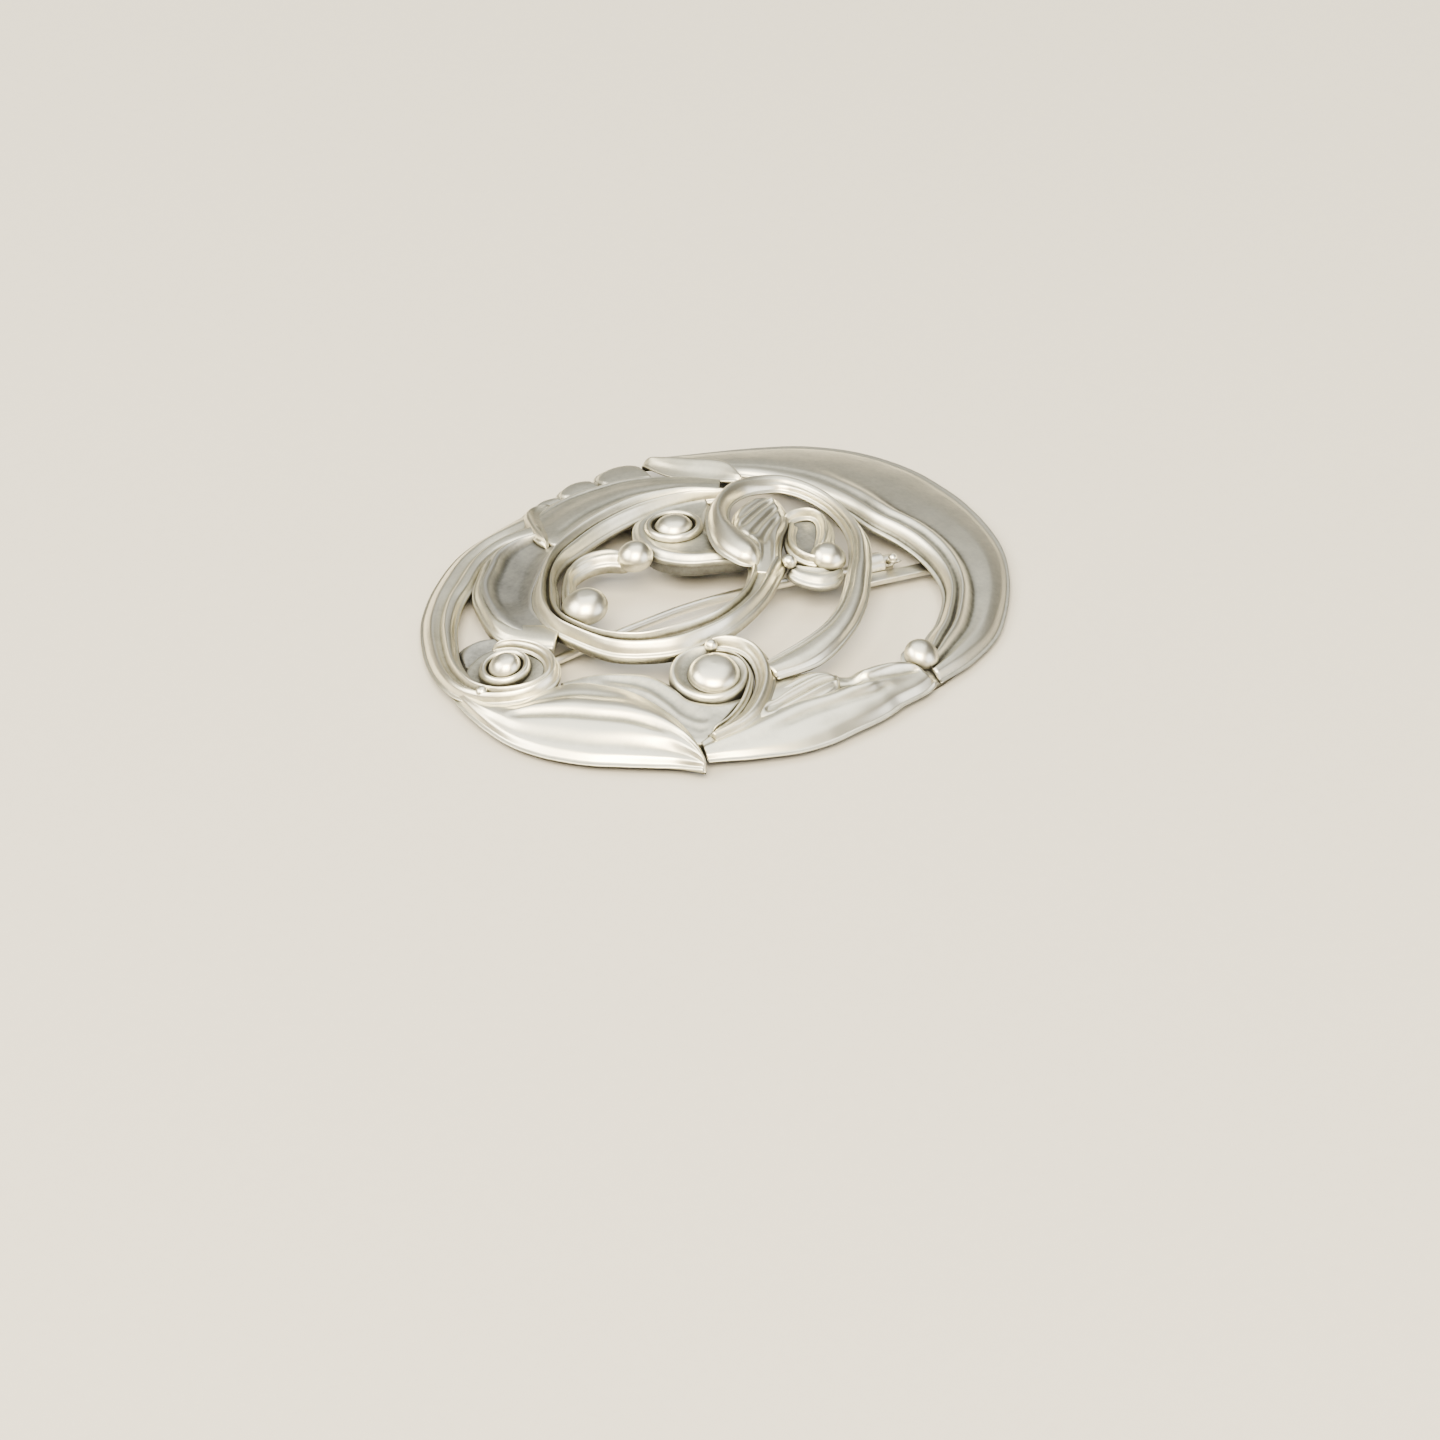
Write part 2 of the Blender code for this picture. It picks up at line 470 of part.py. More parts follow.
def build_stems():
    stem_depth = ((0, STEM_DEPTH), (1, STEM_DEPTH))
    ribbon("loop_stem", LOOP,
           [(0, 0.3, 0.4), (0.22, 0.7, 1.15), (0.5, 0.7, 0.5), (0.78, 0.7, 1.15), (1, 0.3, 0.5)],
           stem_depth, POLISHED, strength=((0, 0.2), (0.12, 0.8), (0.2, 1), (1, 1)))
    ribbon("outer_tendril", OUTER_TENDRIL,
           [(0, 0.55, 0.55), (0.2, 1.0, 1.0), (0.6, 1.15, 1.15), (0.8, 0.95, 0.7), (1, 0.6, 0.6)],
           ((0, -SEAT_GAP), (0.2, 0.0), (0.8, 0.0), (1, -SEAT_GAP)), POLISHED,
           lift=((0, 0), (0.35, 0.05), (0.55, 0.3), (0.7, 0.9), (0.95, 0.95), (1, 0.7)))
    ribbon("left_stem", LEFT_STEM,
           [(0, -0.4, 0.35), (0.25, 0.1, 0.75), (0.5, 0.0, 0.55), (0.75, 0.3, 0.75), (1, 0.1, 0.35)],
           ((0, 0.0), (1, 0.0)), POLISHED,
           strength=((0, 0), (0.4, 0), (0.6, 1), (1, 1)),
           sink=((0, RIM_DEPTH / MM), (0.38, RIM_DEPTH / MM), (0.47, 0), (1, 0)))
    ribbon("inner_tendril", INNER_TENDRIL,
           [(0, 0.3, 0.3), (0.3, 0.9, 0.9), (0.7, 0.9, 0.9), (1, 0.3, 0.3)],
           stem_depth, POLISHED)
    ribbon("lower_scroll", LOWER_SCROLL,
           [(0, 0.4, 0.4), (0.3, 0.9, 0.9), (0.7, 0.9, 0.9), (1, 0.4, 0.4)],
           ((0, 0.0), (1, 0.0)), POLISHED, strength=((0, 1), (1, 1)),
           lift=((0, 0), (0.7, 0), (1, -0.2)))


def build_bud():
    ribbon("bud_fan", BUD,
           [(0, 0.3, 0.2), (0.2, 0.6, 0.7), (0.4, 0.6, 0.5), (0.6, 0.6, 0.8), (0.8, 0.6, 0.6), (1, 0.3, 0.3)],
           ((0, PLATE_DEPTH), (1, PLATE_DEPTH)), POLISHED,
           strength=((0, 0), (0.4, 1), (1, 1)))
    ribbon("bud_lip", BUD_LIP,
           [(0, 0.1, 0.1), (0.3, 0.75, 0.75), (0.7, 0.8, 0.8), (1, 0.3, 0.3)],
           ((0, -SEAT_GAP), (1, -SEAT_GAP)), POLISHED)
    ribbon("bud_under_petal", BUD_UNDER_PETAL,
           [(0, -0.5, -0.5), (0.5, -0.1, -0.1), (1, -0.2, -0.2)],
           ((0, PLATE_DEPTH), (1, PLATE_DEPTH)), SATIN)
    ribbon("cup", CUP,
           [(0, 0.3, 0.3), (0.15, 0.45, 0.5), (0.35, 0.1, 0.1), (0.8, 0.1, 0.1), (1, 0.0, 0.0)],
           ((0, RIM_DEPTH), (1, PLATE_DEPTH)), OXIDISED)


def dish(centre, name, radius, top):
    """A shallow turned dish with a rounded rim, its underside level with the inner pieces'."""
    turned(name, centre, [(0, top), (radius - 0.0002, top), (radius, top - 0.0002), (radius, -PLATE_DEPTH),
                          (0, -PLATE_DEPTH)], SATIN, segments=28)


def build_beads():
    turned("berry", BERRY, ball(BERRY_RADIUS, 0.0003, 0.7), POLISHED)
    turned("drop", DROP, ball(DROP_RADIUS, 0.0003, 0.85), POLISHED)
    turned("end_bead", END_BEAD, button(END_BEAD_RADIUS, 0.0011, -0.00035), POLISHED)
    seat = 0.0006
    ring = CUP_BEAD_RADIUS + RING_GAP
    turned("cup_bead", CUP_CENTRE, button(CUP_BEAD_RADIUS, 0.0013, seat - 0.0004), POLISHED)
    turned("cup_ring", CUP_CENTRE,
           [(ring, seat), (ring, seat + 0.0004), (ring + RING_WIDTH / 2, seat + 0.0006),
            (ring + RING_WIDTH, seat + 0.0003), (ring + RING_WIDTH, seat)], POLISHED)
    dish(UPPER_VOLUTE, "upper_volute_dish", UPPER_DISH_RADIUS, -0.00025)
    volute_ring = UPPER_VOLUTE_BEAD_RADIUS + RING_GAP
    volute_edge = volute_ring + RING_WIDTH
    turned("upper_volute_ring", UPPER_VOLUTE,
           [(volute_ring, -0.0001), (volute_ring, 0.0003), (volute_ring + RING_WIDTH / 2, 0.0005),
            (volute_edge, 0.0003), (volute_edge, -0.0001)], POLISHED)
    turned("upper_volute_bead", UPPER_VOLUTE, button(UPPER_VOLUTE_BEAD_RADIUS, 0.0010, -0.00015), POLISHED)
    ribbon("upper_volute_hood", VOLUTE_HOOD,
           [(0, -0.5, -0.5), (0.5, -0.2, -0.2), (1, -0.3, -0.3)],
           ((0, PLATE_DEPTH), (1, PLATE_DEPTH)), OXIDISED)
    dish(LOWER_VOLUTE, "lower_volute_dish", LOWER_DISH_RADIUS, -0.0001)
    turned("lower_volute_bead", LOWER_VOLUTE, button(LOWER_VOLUTE_BEAD_RADIUS, 0.0015, 0.0), POLISHED)
    beside_bead = (LOWER_VOLUTE_BEAD_RADIUS + KNOB_RADIUS + RING_GAP) / MM
    knob_turn = math.radians(KNOB_TURN)
    knob = (LOWER_VOLUTE[0] + beside_bead * math.cos(knob_turn),
            LOWER_VOLUTE[1] + beside_bead * math.sin(knob_turn))
    turned("lower_volute_knob", knob, ball(KNOB_RADIUS, KNOB_RADIUS + SEAT_GAP, 1.0), POLISHED, segments=12)


def build_hinge():
    """Hinge plate, two fixed knuckles and a rivet, then the pin on its own pivot."""
    turn = math.radians(HINGE_TURN)
    pitch = KNUCKLE_LENGTH + KNUCKLE_CLEARANCE
    across = Vector((-math.sin(turn), math.cos(turn)))
    along = Vector((math.cos(turn), math.sin(turn)))
    centre = Vector(on_plan(HINGE))
    half_width = 1.5 * pitch
    plate_end = -KNUCKLE_RADIUS - SEAT_GAP
    corners = []
    for a, b in ((plate_end - HINGE_PLATE_LENGTH, -half_width), (plate_end, -half_width),
                 (plate_end, half_width), (plate_end - HINGE_PLATE_LENGTH, half_width)):
        corners.append(centre + along * a + across * b)
    under = min(dome(x, y) for x, y in corners) - PLATE_DEPTH
    plate_top = under - SEAT_GAP
    plate("hinge_plate", corners, plate_top - HINGE_PLATE_THICKNESS, plate_top, DRAWN)

    pivot = bpy.data.objects.new("pin_pivot", None)
    pivot.location = (*centre, HINGE_HEIGHT)
    pivot.rotation_euler = (0, 0, turn)
    bpy.context.collection.objects.link(pivot)
    bore = RIVET_RADIUS + RIVET_CLEARANCE
    for name, place in (("hinge_knuckle_near", -pitch), ("hinge_knuckle_far", pitch), ("pin_knuckle", 0)):
        knuckle = tube(name, KNUCKLE_RADIUS, bore, KNUCKLE_LENGTH, 0, DRAWN)
        knuckle.parent = pivot
        knuckle.location = (0, place, 0)
        knuckle.rotation_euler = (0, 0, math.pi / 2)
    shank = 1.5 * KNUCKLE_LENGTH + KNUCKLE_CLEARANCE + KNUCKLE_CLEARANCE
    head = shank + RIVET_HEAD_LENGTH
    rivet = rod("hinge_rivet",
                [(-head, 0, 0, RIVET_HEAD_RADIUS * 0.7), (-shank, 0, 0, RIVET_HEAD_RADIUS),
                 (-shank, 0, 0, RIVET_RADIUS), (shank, 0, 0, RIVET_RADIUS),
                 (shank, 0, 0, RIVET_HEAD_RADIUS), (head, 0, 0, RIVET_HEAD_RADIUS * 0.7)], DRAWN, segments=16)
    rivet.parent = pivot
    rivet.rotation_euler = (0, 0, math.pi / 2)

    to_catch = Vector(on_plan(CATCH)) - centre
    reach = to_catch.dot(along)
    swing = to_catch.dot(across)
    rise = CATCH_HEIGHT - HINGE_HEIGHT
    start = KNUCKLE_RADIUS + SEAT_GAP / 2
    rows = [(start, 0, 0, PIN_RADIUS)]
    for share in (0.15, 0.3, 0.45, 0.6, 0.72, 0.84, 0.94, 1.0):
        sideways = swing * max(0, (share - 0.45) / 0.55) ** 1.5
        height = rise * share + PIN_BOW * math.sin(math.pi * share)
        taper = 1.0 if share < 0.8 else 1.0 - 0.2 * (share - 0.8) / 0.2
        rows.append((reach * share, sideways, height, PIN_RADIUS * taper))
    slope = math.tan(math.radians(CATCH_TURN - HINGE_TURN))
    for share, radius in ((0.5, PIN_RADIUS * 0.7), (1.0, PIN_TIP_RADIUS)):
        step = PIN_OVERSHOOT * share
        rows.append((reach + step, swing + slope * step, rise, radius))
    stem = rod("pin_stem", rows, DRAWN, segments=12)
    stem.parent = pivot


def build_catch():
    """Strip and split tube, fixed to the crescent, and the rolling sleeve with its lever."""
    turn = math.radians(CATCH_TURN)
    pivot = bpy.data.objects.new("catch_pivot", None)
    centre = Vector(on_plan(CATCH))
    pivot.location = (*centre, CATCH_HEIGHT)
    pivot.rotation_euler = (0, 0, turn)
    bpy.context.collection.objects.link(pivot)
    barrel = tube("catch_barrel", CATCH_RADIUS, CATCH_RADIUS - CATCH_WALL, CATCH_LENGTH, CATCH_SLOT, DRAWN)
    barrel.parent = pivot
    sleeve_outer = CATCH_RADIUS - CATCH_WALL - SLEEVE_CLEARANCE
    sleeve_length = CATCH_LENGTH + SLEEVE_OVERHANG
    sleeve = tube("catch_sleeve", sleeve_outer, sleeve_outer - SLEEVE_WALL, sleeve_length, CATCH_SLOT, DRAWN)
    sleeve.parent = pivot
    sleeve.location = (SLEEVE_OVERHANG / 2, 0, 0)

    lever_at = CATCH_LENGTH / 2 + SLEEVE_OVERHANG / 2
    start = sleeve_outer + SEAT_GAP / 2
    neck = start + LEVER_LENGTH
    knob = LEVER_KNOB_RADIUS
    rows = [(start, 0, 0, LEVER_RADIUS), (neck, 0, 0, LEVER_RADIUS)]
    for degrees in (40, 70, 100, 130, 160):
        angle = math.radians(degrees)
        rows.append((neck + knob * (0.8 - math.cos(angle)), 0, 0, knob * math.sin(angle)))
    lever = rod("catch_lever", rows, DRAWN, segments=12)
    lever.parent = pivot
    lever.location = (lever_at, 0, 0)
    lever.rotation_euler = (0, -math.radians(LEVER_LIFT), -math.pi / 2)

    along = Vector((math.cos(turn), math.sin(turn)))
    across = Vector((-math.sin(turn), math.cos(turn)))
    side = -(CATCH_RADIUS + SEAT_GAP / 2)
    corners = []
    for a, b in ((-CATCH_LENGTH / 2, side - CATCH_STRIP_WIDTH), (CATCH_STRIP_REACH, side - CATCH_STRIP_WIDTH),
                 (CATCH_STRIP_REACH, side), (-CATCH_LENGTH / 2, side)):
        corners.append(centre + along * a + across * b)
    top = min(dome(x, y) for x, y in corners) - PLATE_DEPTH - SEAT_GAP
    plate("catch_strip", corners, top - CATCH_STRIP_THICKNESS, top, DRAWN)


def build():
    clear_scene()
    build_leaves()
    build_stems()
    build_bud()
    build_beads()
    build_hinge()
    build_catch()


build()
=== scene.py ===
import math

import bmesh
import bpy
import numpy as np
from mathutils import Matrix, Vector, noise


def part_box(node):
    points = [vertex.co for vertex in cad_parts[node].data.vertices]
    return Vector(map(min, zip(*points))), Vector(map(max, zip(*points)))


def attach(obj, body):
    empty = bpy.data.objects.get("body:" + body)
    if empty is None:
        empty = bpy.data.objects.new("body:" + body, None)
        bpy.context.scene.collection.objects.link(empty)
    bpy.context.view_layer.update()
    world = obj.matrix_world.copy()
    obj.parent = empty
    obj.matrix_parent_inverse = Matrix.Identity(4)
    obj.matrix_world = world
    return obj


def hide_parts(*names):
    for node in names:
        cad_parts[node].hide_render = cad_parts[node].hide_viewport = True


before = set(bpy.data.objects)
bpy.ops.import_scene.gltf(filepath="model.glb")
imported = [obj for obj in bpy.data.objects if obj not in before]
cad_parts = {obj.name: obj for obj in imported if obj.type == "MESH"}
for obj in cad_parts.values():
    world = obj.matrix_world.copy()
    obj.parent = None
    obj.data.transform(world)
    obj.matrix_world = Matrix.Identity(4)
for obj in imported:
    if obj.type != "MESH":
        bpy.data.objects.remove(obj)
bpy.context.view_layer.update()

mm = 0.001

# Every piece is drawn in millimetres on the brooch's own oval, and newPiece scales it to metres.
oval = {
    "length": 56.0,        # along X
    "width": 46.0,         # along Y
    "rimHeight": 1.3,      # domed face above the table, at the rim
    "crown": 3.0,          # extra rise at the middle
}

# unevenness left by the silversmith's hand
hand = {
    "stray": 0.035,        # how far an edge wanders
    "faceShare": 0.6,      # share of that on a chased face
    "beadShare": 0.8,      # and on a bead
    "edgeEvery": 2.6,      # spacing of the waves along an edge
    "faceEvery": 1.8,      # on a face
    "beadEvery": 1.1,      # on a bead
    "wireEvery": 1.4,      # and along a wire
    "wireShare": 0.02,     # share of a wire's radius
}

# how a cast piece is drawn, in millimetres unless a share is meant
casting = {
    "rows": 90,            # sections along a piece that doesn't say
    "across": 40,          # points over its face
    "rim": 0.28,           # rounding of its upper edges
    "rimOfWidth": 0.3,     # but no more than this share of the width
    "rimOfHeight": 0.45,   # nor of the wall's height
    "foot": 0.6,           # rounding of the lower edges, as a share of the upper
    "thinnest": 0.12,      # least metal anywhere
    "relief": 0.28,        # rise from a dull groove to a rubbed crest
    "reach": 0.09,         # share of the face that a crest is compared with
    "edgeFall": 0.25,      # ground beyond an edge counts as this much lower
    "lineFade": 0.06,      # share of the length over which a chased line fades in and out
    "endWidth": 0.25,      # share of the width left at a rounded end
    "endHeight": 0.05,     # and of the height
    "backSwell": 0.06,     # the back is not quite flat
    "seedStep": 0.37,      # keeps the unevenness different from piece to piece
}

# how rubbed each part of a section is, from 0 for dull to 1 for bright
rubbed = {"rimTop": 0.72, "rimFall": 0.3, "wall": 0.3, "foot": 0.2, "back": 0.15, "end": 0.4}


def domeAt(x, y):
    along, across = (2 * x / oval["length"]) ** 2, (2 * y / oval["width"]) ** 2
    return oval["rimHeight"] + oval["crown"] * (1 - along - across)


def softLine(xs, ys, at):
    # monotone cubic through the points: crests and grooves come out round and never overshoot
    xs = np.asarray(xs, float)
    ys = np.asarray(ys, float)
    steps = np.maximum(np.diff(xs), 1e-6)
    slopes = np.diff(ys) / steps
    tangents = np.zeros(len(xs))
    tangents[0] = slopes[0]
    tangents[-1] = slopes[-1]
    same = slopes[:-1] * slopes[1:] > 0
    both = np.where(same, slopes[:-1] + slopes[1:], 1.0)
    tangents[1:-1] = np.where(same, 2 * slopes[:-1] * slopes[1:] / both, 0.0)
    at = np.clip(at, xs[0], xs[-1])
    k = np.clip(np.searchsorted(xs, at, side="right") - 1, 0, len(xs) - 2)
    h = steps[k]
    u = (at - xs[k]) / h
    return ((2 * u ** 3 - 3 * u ** 2 + 1) * ys[k] + (u ** 3 - 2 * u ** 2 + u) * h * tangents[k]
            + (3 * u ** 2 - 2 * u ** 3) * ys[k + 1] + (u ** 3 - u ** 2) * h * tangents[k + 1])


def throughPoints(points, share):
    # Catmull-Rom curve through the points, at shares from 0 to 1 of the row count
    points = np.asarray(points, float)
    padded = np.vstack([2 * points[0] - points[1], points, 2 * points[-1] - points[-2]])
    place = np.clip(share, 0, 1) * (len(points) - 1)
    k = np.minimum(place.astype(int), len(points) - 2)
    u = (place - k)[:, None]
    a, b, c, d = padded[k], padded[k + 1], padded[k + 2], padded[k + 3]
    return 0.5 * (2 * b + (c - a) * u + (2 * a - 5 * b + 4 * c - d) * u ** 2
                  + (3 * b - a - 3 * c + d) * u ** 3)


def evenShares(outer, inner, rows):
    # shares along the strip that are evenly spaced in millimetres, and the strip's length
    fine = 40
    dense = np.linspace(0, 1, fine * len(outer))
    first, second = (np.diff(throughPoints(side, dense), axis=0) for side in (outer, inner))
    run = np.concatenate([[0], np.cumsum(np.linalg.norm(first, axis=1) + np.linalg.norm(second, axis=1))])
    return np.interp(np.linspace(0, run[-1], rows), run, dense), run[-1] / 2


def wobble(x, y, size, seed):
    return noise.noise(Vector((x / size, y / size, seed)))


def blurred(grid, reach, fall):
    # box blur along each row, with lower ground beyond both edges
    padded = np.hstack([np.repeat(grid[:, :1] - fall, reach, axis=1), grid,
                        np.repeat(grid[:, -1:] - fall, reach, axis=1)])
    total = np.cumsum(np.hstack([np.zeros((len(grid), 1)), padded]), axis=1)
    size = 2 * reach + 1
    return (total[:, size:] - total[:, :-size]) / size


def bandFaces(rings, steps, count, closed=False):
    # four-sided faces between neighbouring rings of points; a closed band joins the last to the first
    faces = []
    for i in range(rings if closed else rings - 1):
        j = (i + 1) % rings
        for step in range(steps):
            after = (step + 1) % count
            faces.append((i * count + step, i * count + after, j * count + after, j * count + step))
    return faces


def endCaps(rings, count):
    return [tuple(range(count)), tuple(reversed(range((rings - 1) * count, rings * count)))]


def newPiece(name, verts, faces, wear, body, replaced, finish, sharpAngle=None):
    mesh = bpy.data.meshes.new(name)
    mesh.from_pydata([tuple(v) for v in np.asarray(verts) * mm], [], faces)
    mesh.validate()
    worn = mesh.attributes.new("wear", "FLOAT", "POINT")
    worn.data.foreach_set("value", np.clip(np.asarray(wear, float), 0, 1))
    shape = bmesh.new()
    shape.from_mesh(mesh)
    bmesh.ops.recalc_face_normals(shape, faces=shape.faces)
    if shape.calc_volume(signed=True) < 0:
        bmesh.ops.reverse_faces(shape, faces=shape.faces)
    shape.to_mesh(mesh)
    shape.free()
    mesh.shade_smooth()
    if sharpAngle:
        mesh.set_sharp_from_angle(angle=math.radians(sharpAngle))
    mesh.materials.append(finishes[finish])
    piece = bpy.data.objects.new(name, mesh)
    bpy.context.collection.objects.link(piece)
    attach(piece, body)
    if replaced:
        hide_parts(*replaced)


def chasedFace(look, shares, widths, ts):
    # heights over the face, section by section, with the chased lines cut in
    stations = look["stations"]
    at = [share for share, _ in stations]
    rails = [[softLine(at, [row[j][k] for _, row in stations], shares) for j in range(len(stations[0][1]))]
             for k in (0, 1)]
    places, heights = (np.array(rail).T for rail in rails)
    tops = np.array([softLine(places[i], heights[i], ts) for i in range(len(shares))])
    for line in look.get("lines", []):
        pathS, pathT = zip(*line["path"])           # shares along and across
        centre = softLine(pathS, pathT, shares)
        fade = (np.clip((shares - pathS[0]) / casting["lineFade"], 0, 1)
                * np.clip((pathS[-1] - shares) / casting["lineFade"], 0, 1))
        away = (ts[None, :] - centre[:, None]) * widths[:, None] / line["width"]
        tops -= line["cut"] * fade[:, None] * np.exp(-away ** 2)
    return tops


def roundedEdge(rim, top, low):
    # (inset, height, wear) from the face over the rim, down the wall and round the foot
    drop = min(rim, (top - low) * casting["rimOfHeight"])
    foot = casting["foot"] * drop
    spots = []
    for degrees in (22, 45, 68, 90):
        a = math.radians(degrees)
        spots.append((rim * (1 - math.sin(a)), top - drop * (1 - math.cos(a)),
                      rubbed["rimTop"] - rubbed["rimFall"] * degrees / 90))
    spots.append((0.0, (top - drop + low + foot) / 2, rubbed["wall"]))
    for degrees in (0, 45, 90):
        a = math.radians(degrees)
        spots.append((foot * (1 - math.cos(a)), low + foot * (1 - math.sin(a)), rubbed["foot"]))
    return spots


def reliefStrip(name, look, replaced, finish):
    # A strip of cast metal between two edges: a chased face, rounded rims, walls and a flat back.
    # Edges are rows of (outer x, outer y, inner x, inner y), stations are profiles from outer to inner.
    rows = look.get("rows", casting["rows"])
    across = look.get("across", casting["across"])
    outerPoints, innerPoints = [e[:2] for e in look["edges"]], [e[2:] for e in look["edges"]]
    shares, length = evenShares(outerPoints, innerPoints, rows)
    outer, inner = throughPoints(outerPoints, shares), throughPoints(innerPoints, shares)
    ts = np.linspace(0, 1, across)
    tops = chasedFace(look, shares, np.linalg.norm(inner - outer, axis=1), ts)
    ground = blurred(tops, max(2, int(across * casting["reach"])), casting["edgeFall"])
    crest = 0.5 + look.get("shine", 0) + (tops - ground) / casting["relief"]
    lift, sink = (softLine(*zip(*look.get(key, [(0, 0), (1, 0)])), shares) for key in ("lift", "sink"))
    depthT, depthH = zip(*look["depth"])
    seed = sum(ord(c) for c in name) * casting["seedStep"]
    ends = look.get("ends", (0, 0))                 # radii of the rounded ends
    run = np.linspace(0, length, rows)
    verts, wear = [], []
    for i in range(rows):
        ease = 1.0
        for radius, away in ((ends[0], run[i]), (ends[1], length - run[i])):
            if radius and away < radius:
                ease = min(ease, max(casting["endHeight"], math.sqrt(max(0.0, 1 - (1 - away / radius) ** 2))))
        middle = (outer[i] + inner[i]) / 2
        kept = casting["endWidth"] + (1 - casting["endWidth"]) * ease
        start = middle + (outer[i] - middle) * kept
        stop = middle + (inner[i] - middle) * kept
        side = stop - start
        side = side / max(float(np.linalg.norm(side)), 1e-6)
        for end, way in ((start, -1), (stop, 1)):
            end += side * way * hand["stray"] * wobble(end[0], end[1], hand["edgeEvery"], seed)
        width = float(np.linalg.norm(stop - start))
        rim = min(look.get("rim", casting["rim"]), width * casting["rimOfWidth"])

        def place(d, z, shine):
            x, y = start + side * d
            verts.append((x, y, z))
            wear.append(shine)

        def back(d):
            x, y = start + side * d
            depth = float(np.interp(d / max(width, 1e-6), depthT, depthH))
            return max(domeAt(x, y) - depth + lift[i] - sink[i], 0.0)

        face = []
        for j, t in enumerate(ts):
            d = rim + t * (width - 2 * rim)
            x, y = start + side * d
            z = domeAt(x, y) + tops[i, j] + lift[i]
            z += hand["stray"] * hand["faceShare"] * wobble(x, y, hand["faceEvery"], seed + 7)
            low = back(d)
            face.append((d, low + max(z - low, casting["thinnest"]) * ease, crest[i, j]))
        for d, z, shine in face:
            place(d, z, shine)
        for inset, z, shine in roundedEdge(rim, face[-1][1], back(width)):
            place(width - inset, z, shine)
        for t in (0.85, 0.65, 0.5, 0.35, 0.15):
            place(t * width, back(t * width) + casting["backSwell"] * math.sin(math.pi * t), rubbed["back"])
        for inset, z, shine in reversed(roundedEdge(rim, face[0][1], back(0.0))):
            place(inset, z, shine)
    size = len(verts) // rows
    faces = bandFaces(rows, size, size)
    for first, flip in ((0, True), ((rows - 1) * size, False)):
        hub = len(verts)
        verts.append(tuple(np.mean(verts[first:first + size], axis=0)))
        wear.append(rubbed["end"])
        for j in range(size):
            here, after = first + j, first + (j + 1) % size
            faces.append((after, here, hub) if flip else (here, after, hub))
    newPiece(name, verts, faces, wear, "brooch", replaced, finish)


def turnedPiece(name, look, replaced, finish):
    # A bead or a dish: profile rows are (radius, height above the dome, wear)
    cx, cy = look["centre"]
    segments = look.get("segments", 56)
    rings = look.get("steps", 34)
    radii, heights, shines = throughPoints(look["profile"], np.linspace(0, 1, rings)).T
    seed = cx * 3.1 + cy
    smallest = 0.004                                # keeps the faces at the middle whole
    verts, wear = [], []
    for r, h, shine in zip(radii, heights, shines):
        for step in range(segments):
            angle = 2 * math.pi * step / segments
            x, y = cx + max(r, smallest) * math.cos(angle), cy + max(r, smallest) * math.sin(angle)
            bump = hand["stray"] * wobble(x, y, hand["beadEvery"], seed) * hand["beadShare"]
            verts.append((x, y, max(domeAt(x, y) + h + bump, 0.0)))
            wear.append(shine)
    closed = look.get("ring", False)
    faces = bandFaces(rings, segments, segments, closed) + ([] if closed else endCaps(rings, segments))
    newPiece(name, verts, faces, wear, "brooch", replaced, finish, sharpAngle=60)


print("materials")


def linearColour(hexCode):
    # sRGB hex to the linear colour that Blender's sockets hold
    parts = [int(hexCode[i:i + 2], 16) / 255 for i in (1, 3, 5)]
    return tuple(p / 12.92 if p <= 0.04045 else ((p + 0.055) / 1.055) ** 2.4 for p in parts) + (1.0,)


def addNode(tree, kind, settings=None, inputs=None):
    # adds one node, sets its properties, and sets or links its inputs
    made = tree.nodes.new(kind)
    for key, value in (settings or {}).items():
        setattr(made, key, value)
    for key, value in (inputs or {}).items():
        socket = made.inputs[key]
        if isinstance(value, bpy.types.NodeSocket):
            tree.links.new(value, socket)
        else:
            socket.default_value = value
    return made


# Sterling silver, cast, chased and rubbed up by hand. Crests are bright and warm,
# grooves hold grey tarnish, recesses beside a neighbour are darkened with painted shade as well as tarnish,
# and cloth wear leaves fine scratches.
silverLooks = {
    # cast and rubbed bright: warm white crests over dull brown-grey grooves
    "castSilverRubbed": {"crest": "#FCF7E0", "middle": "#C6C3AF", "groove": "#46443A",
                         "crestRough": 0.33, "grooveRough": 0.54, "scratch": 0.35, "dark": 1.25},
    # cast and left satin: greyer flats with a soft sheen
    "castSilverSatin": {"crest": "#F4F1DE", "middle": "#B0B0A4", "groove": "#45443D",
                        "crestRough": 0.38, "grooveRough": 0.56, "scratch": 0.45, "dark": 1.25},
    # cast and oxidised: dark, matt hollows with paler worn edges; also laid on pieces that sit in shadow, as
    # painted shade
    "oxidisedSilverAndPaintedShade": {"crest": "#D4D3C8", "middle": "#858682", "groove": "#343431",
                             "crestRough": 0.40, "grooveRough": 0.6, "scratch": 0.5, "dark": 1.3},
    # drawn and filed wire, tube and strip: even and smoother than the casting
    "drawnSilverWire": {"crest": "#EAE6D6", "middle": "#BAB7A8", "groove": "#4E4B42",
                        "crestRough": 0.30, "grooveRough": 0.5, "scratch": 0.5, "dark": 1.0},
}

tarnishAndShade = {
    "cloud": {"Scale": 260.0, "Detail": 5.0, "Roughness": 0.62},    # clouds about 4 mm across
    "speck": {"Scale": 2400.0, "Detail": 3.0, "Roughness": 0.6},    # specks about 0.4 mm across
    "scratch": {"Scale": 900.0, "Detail": 2.0},                     # scratches about 1 mm long
    "scratchSqueeze": (1.0, 14.0, 1.0),                             # and about 0.08 mm apart
    "recessReach": 1.4 * mm,                                        # how near a neighbour shades the metal
    "ramp": {"groove": 0.10, "middle": 0.44, "crest": 0.80},        # wear at which each colour is reached
}


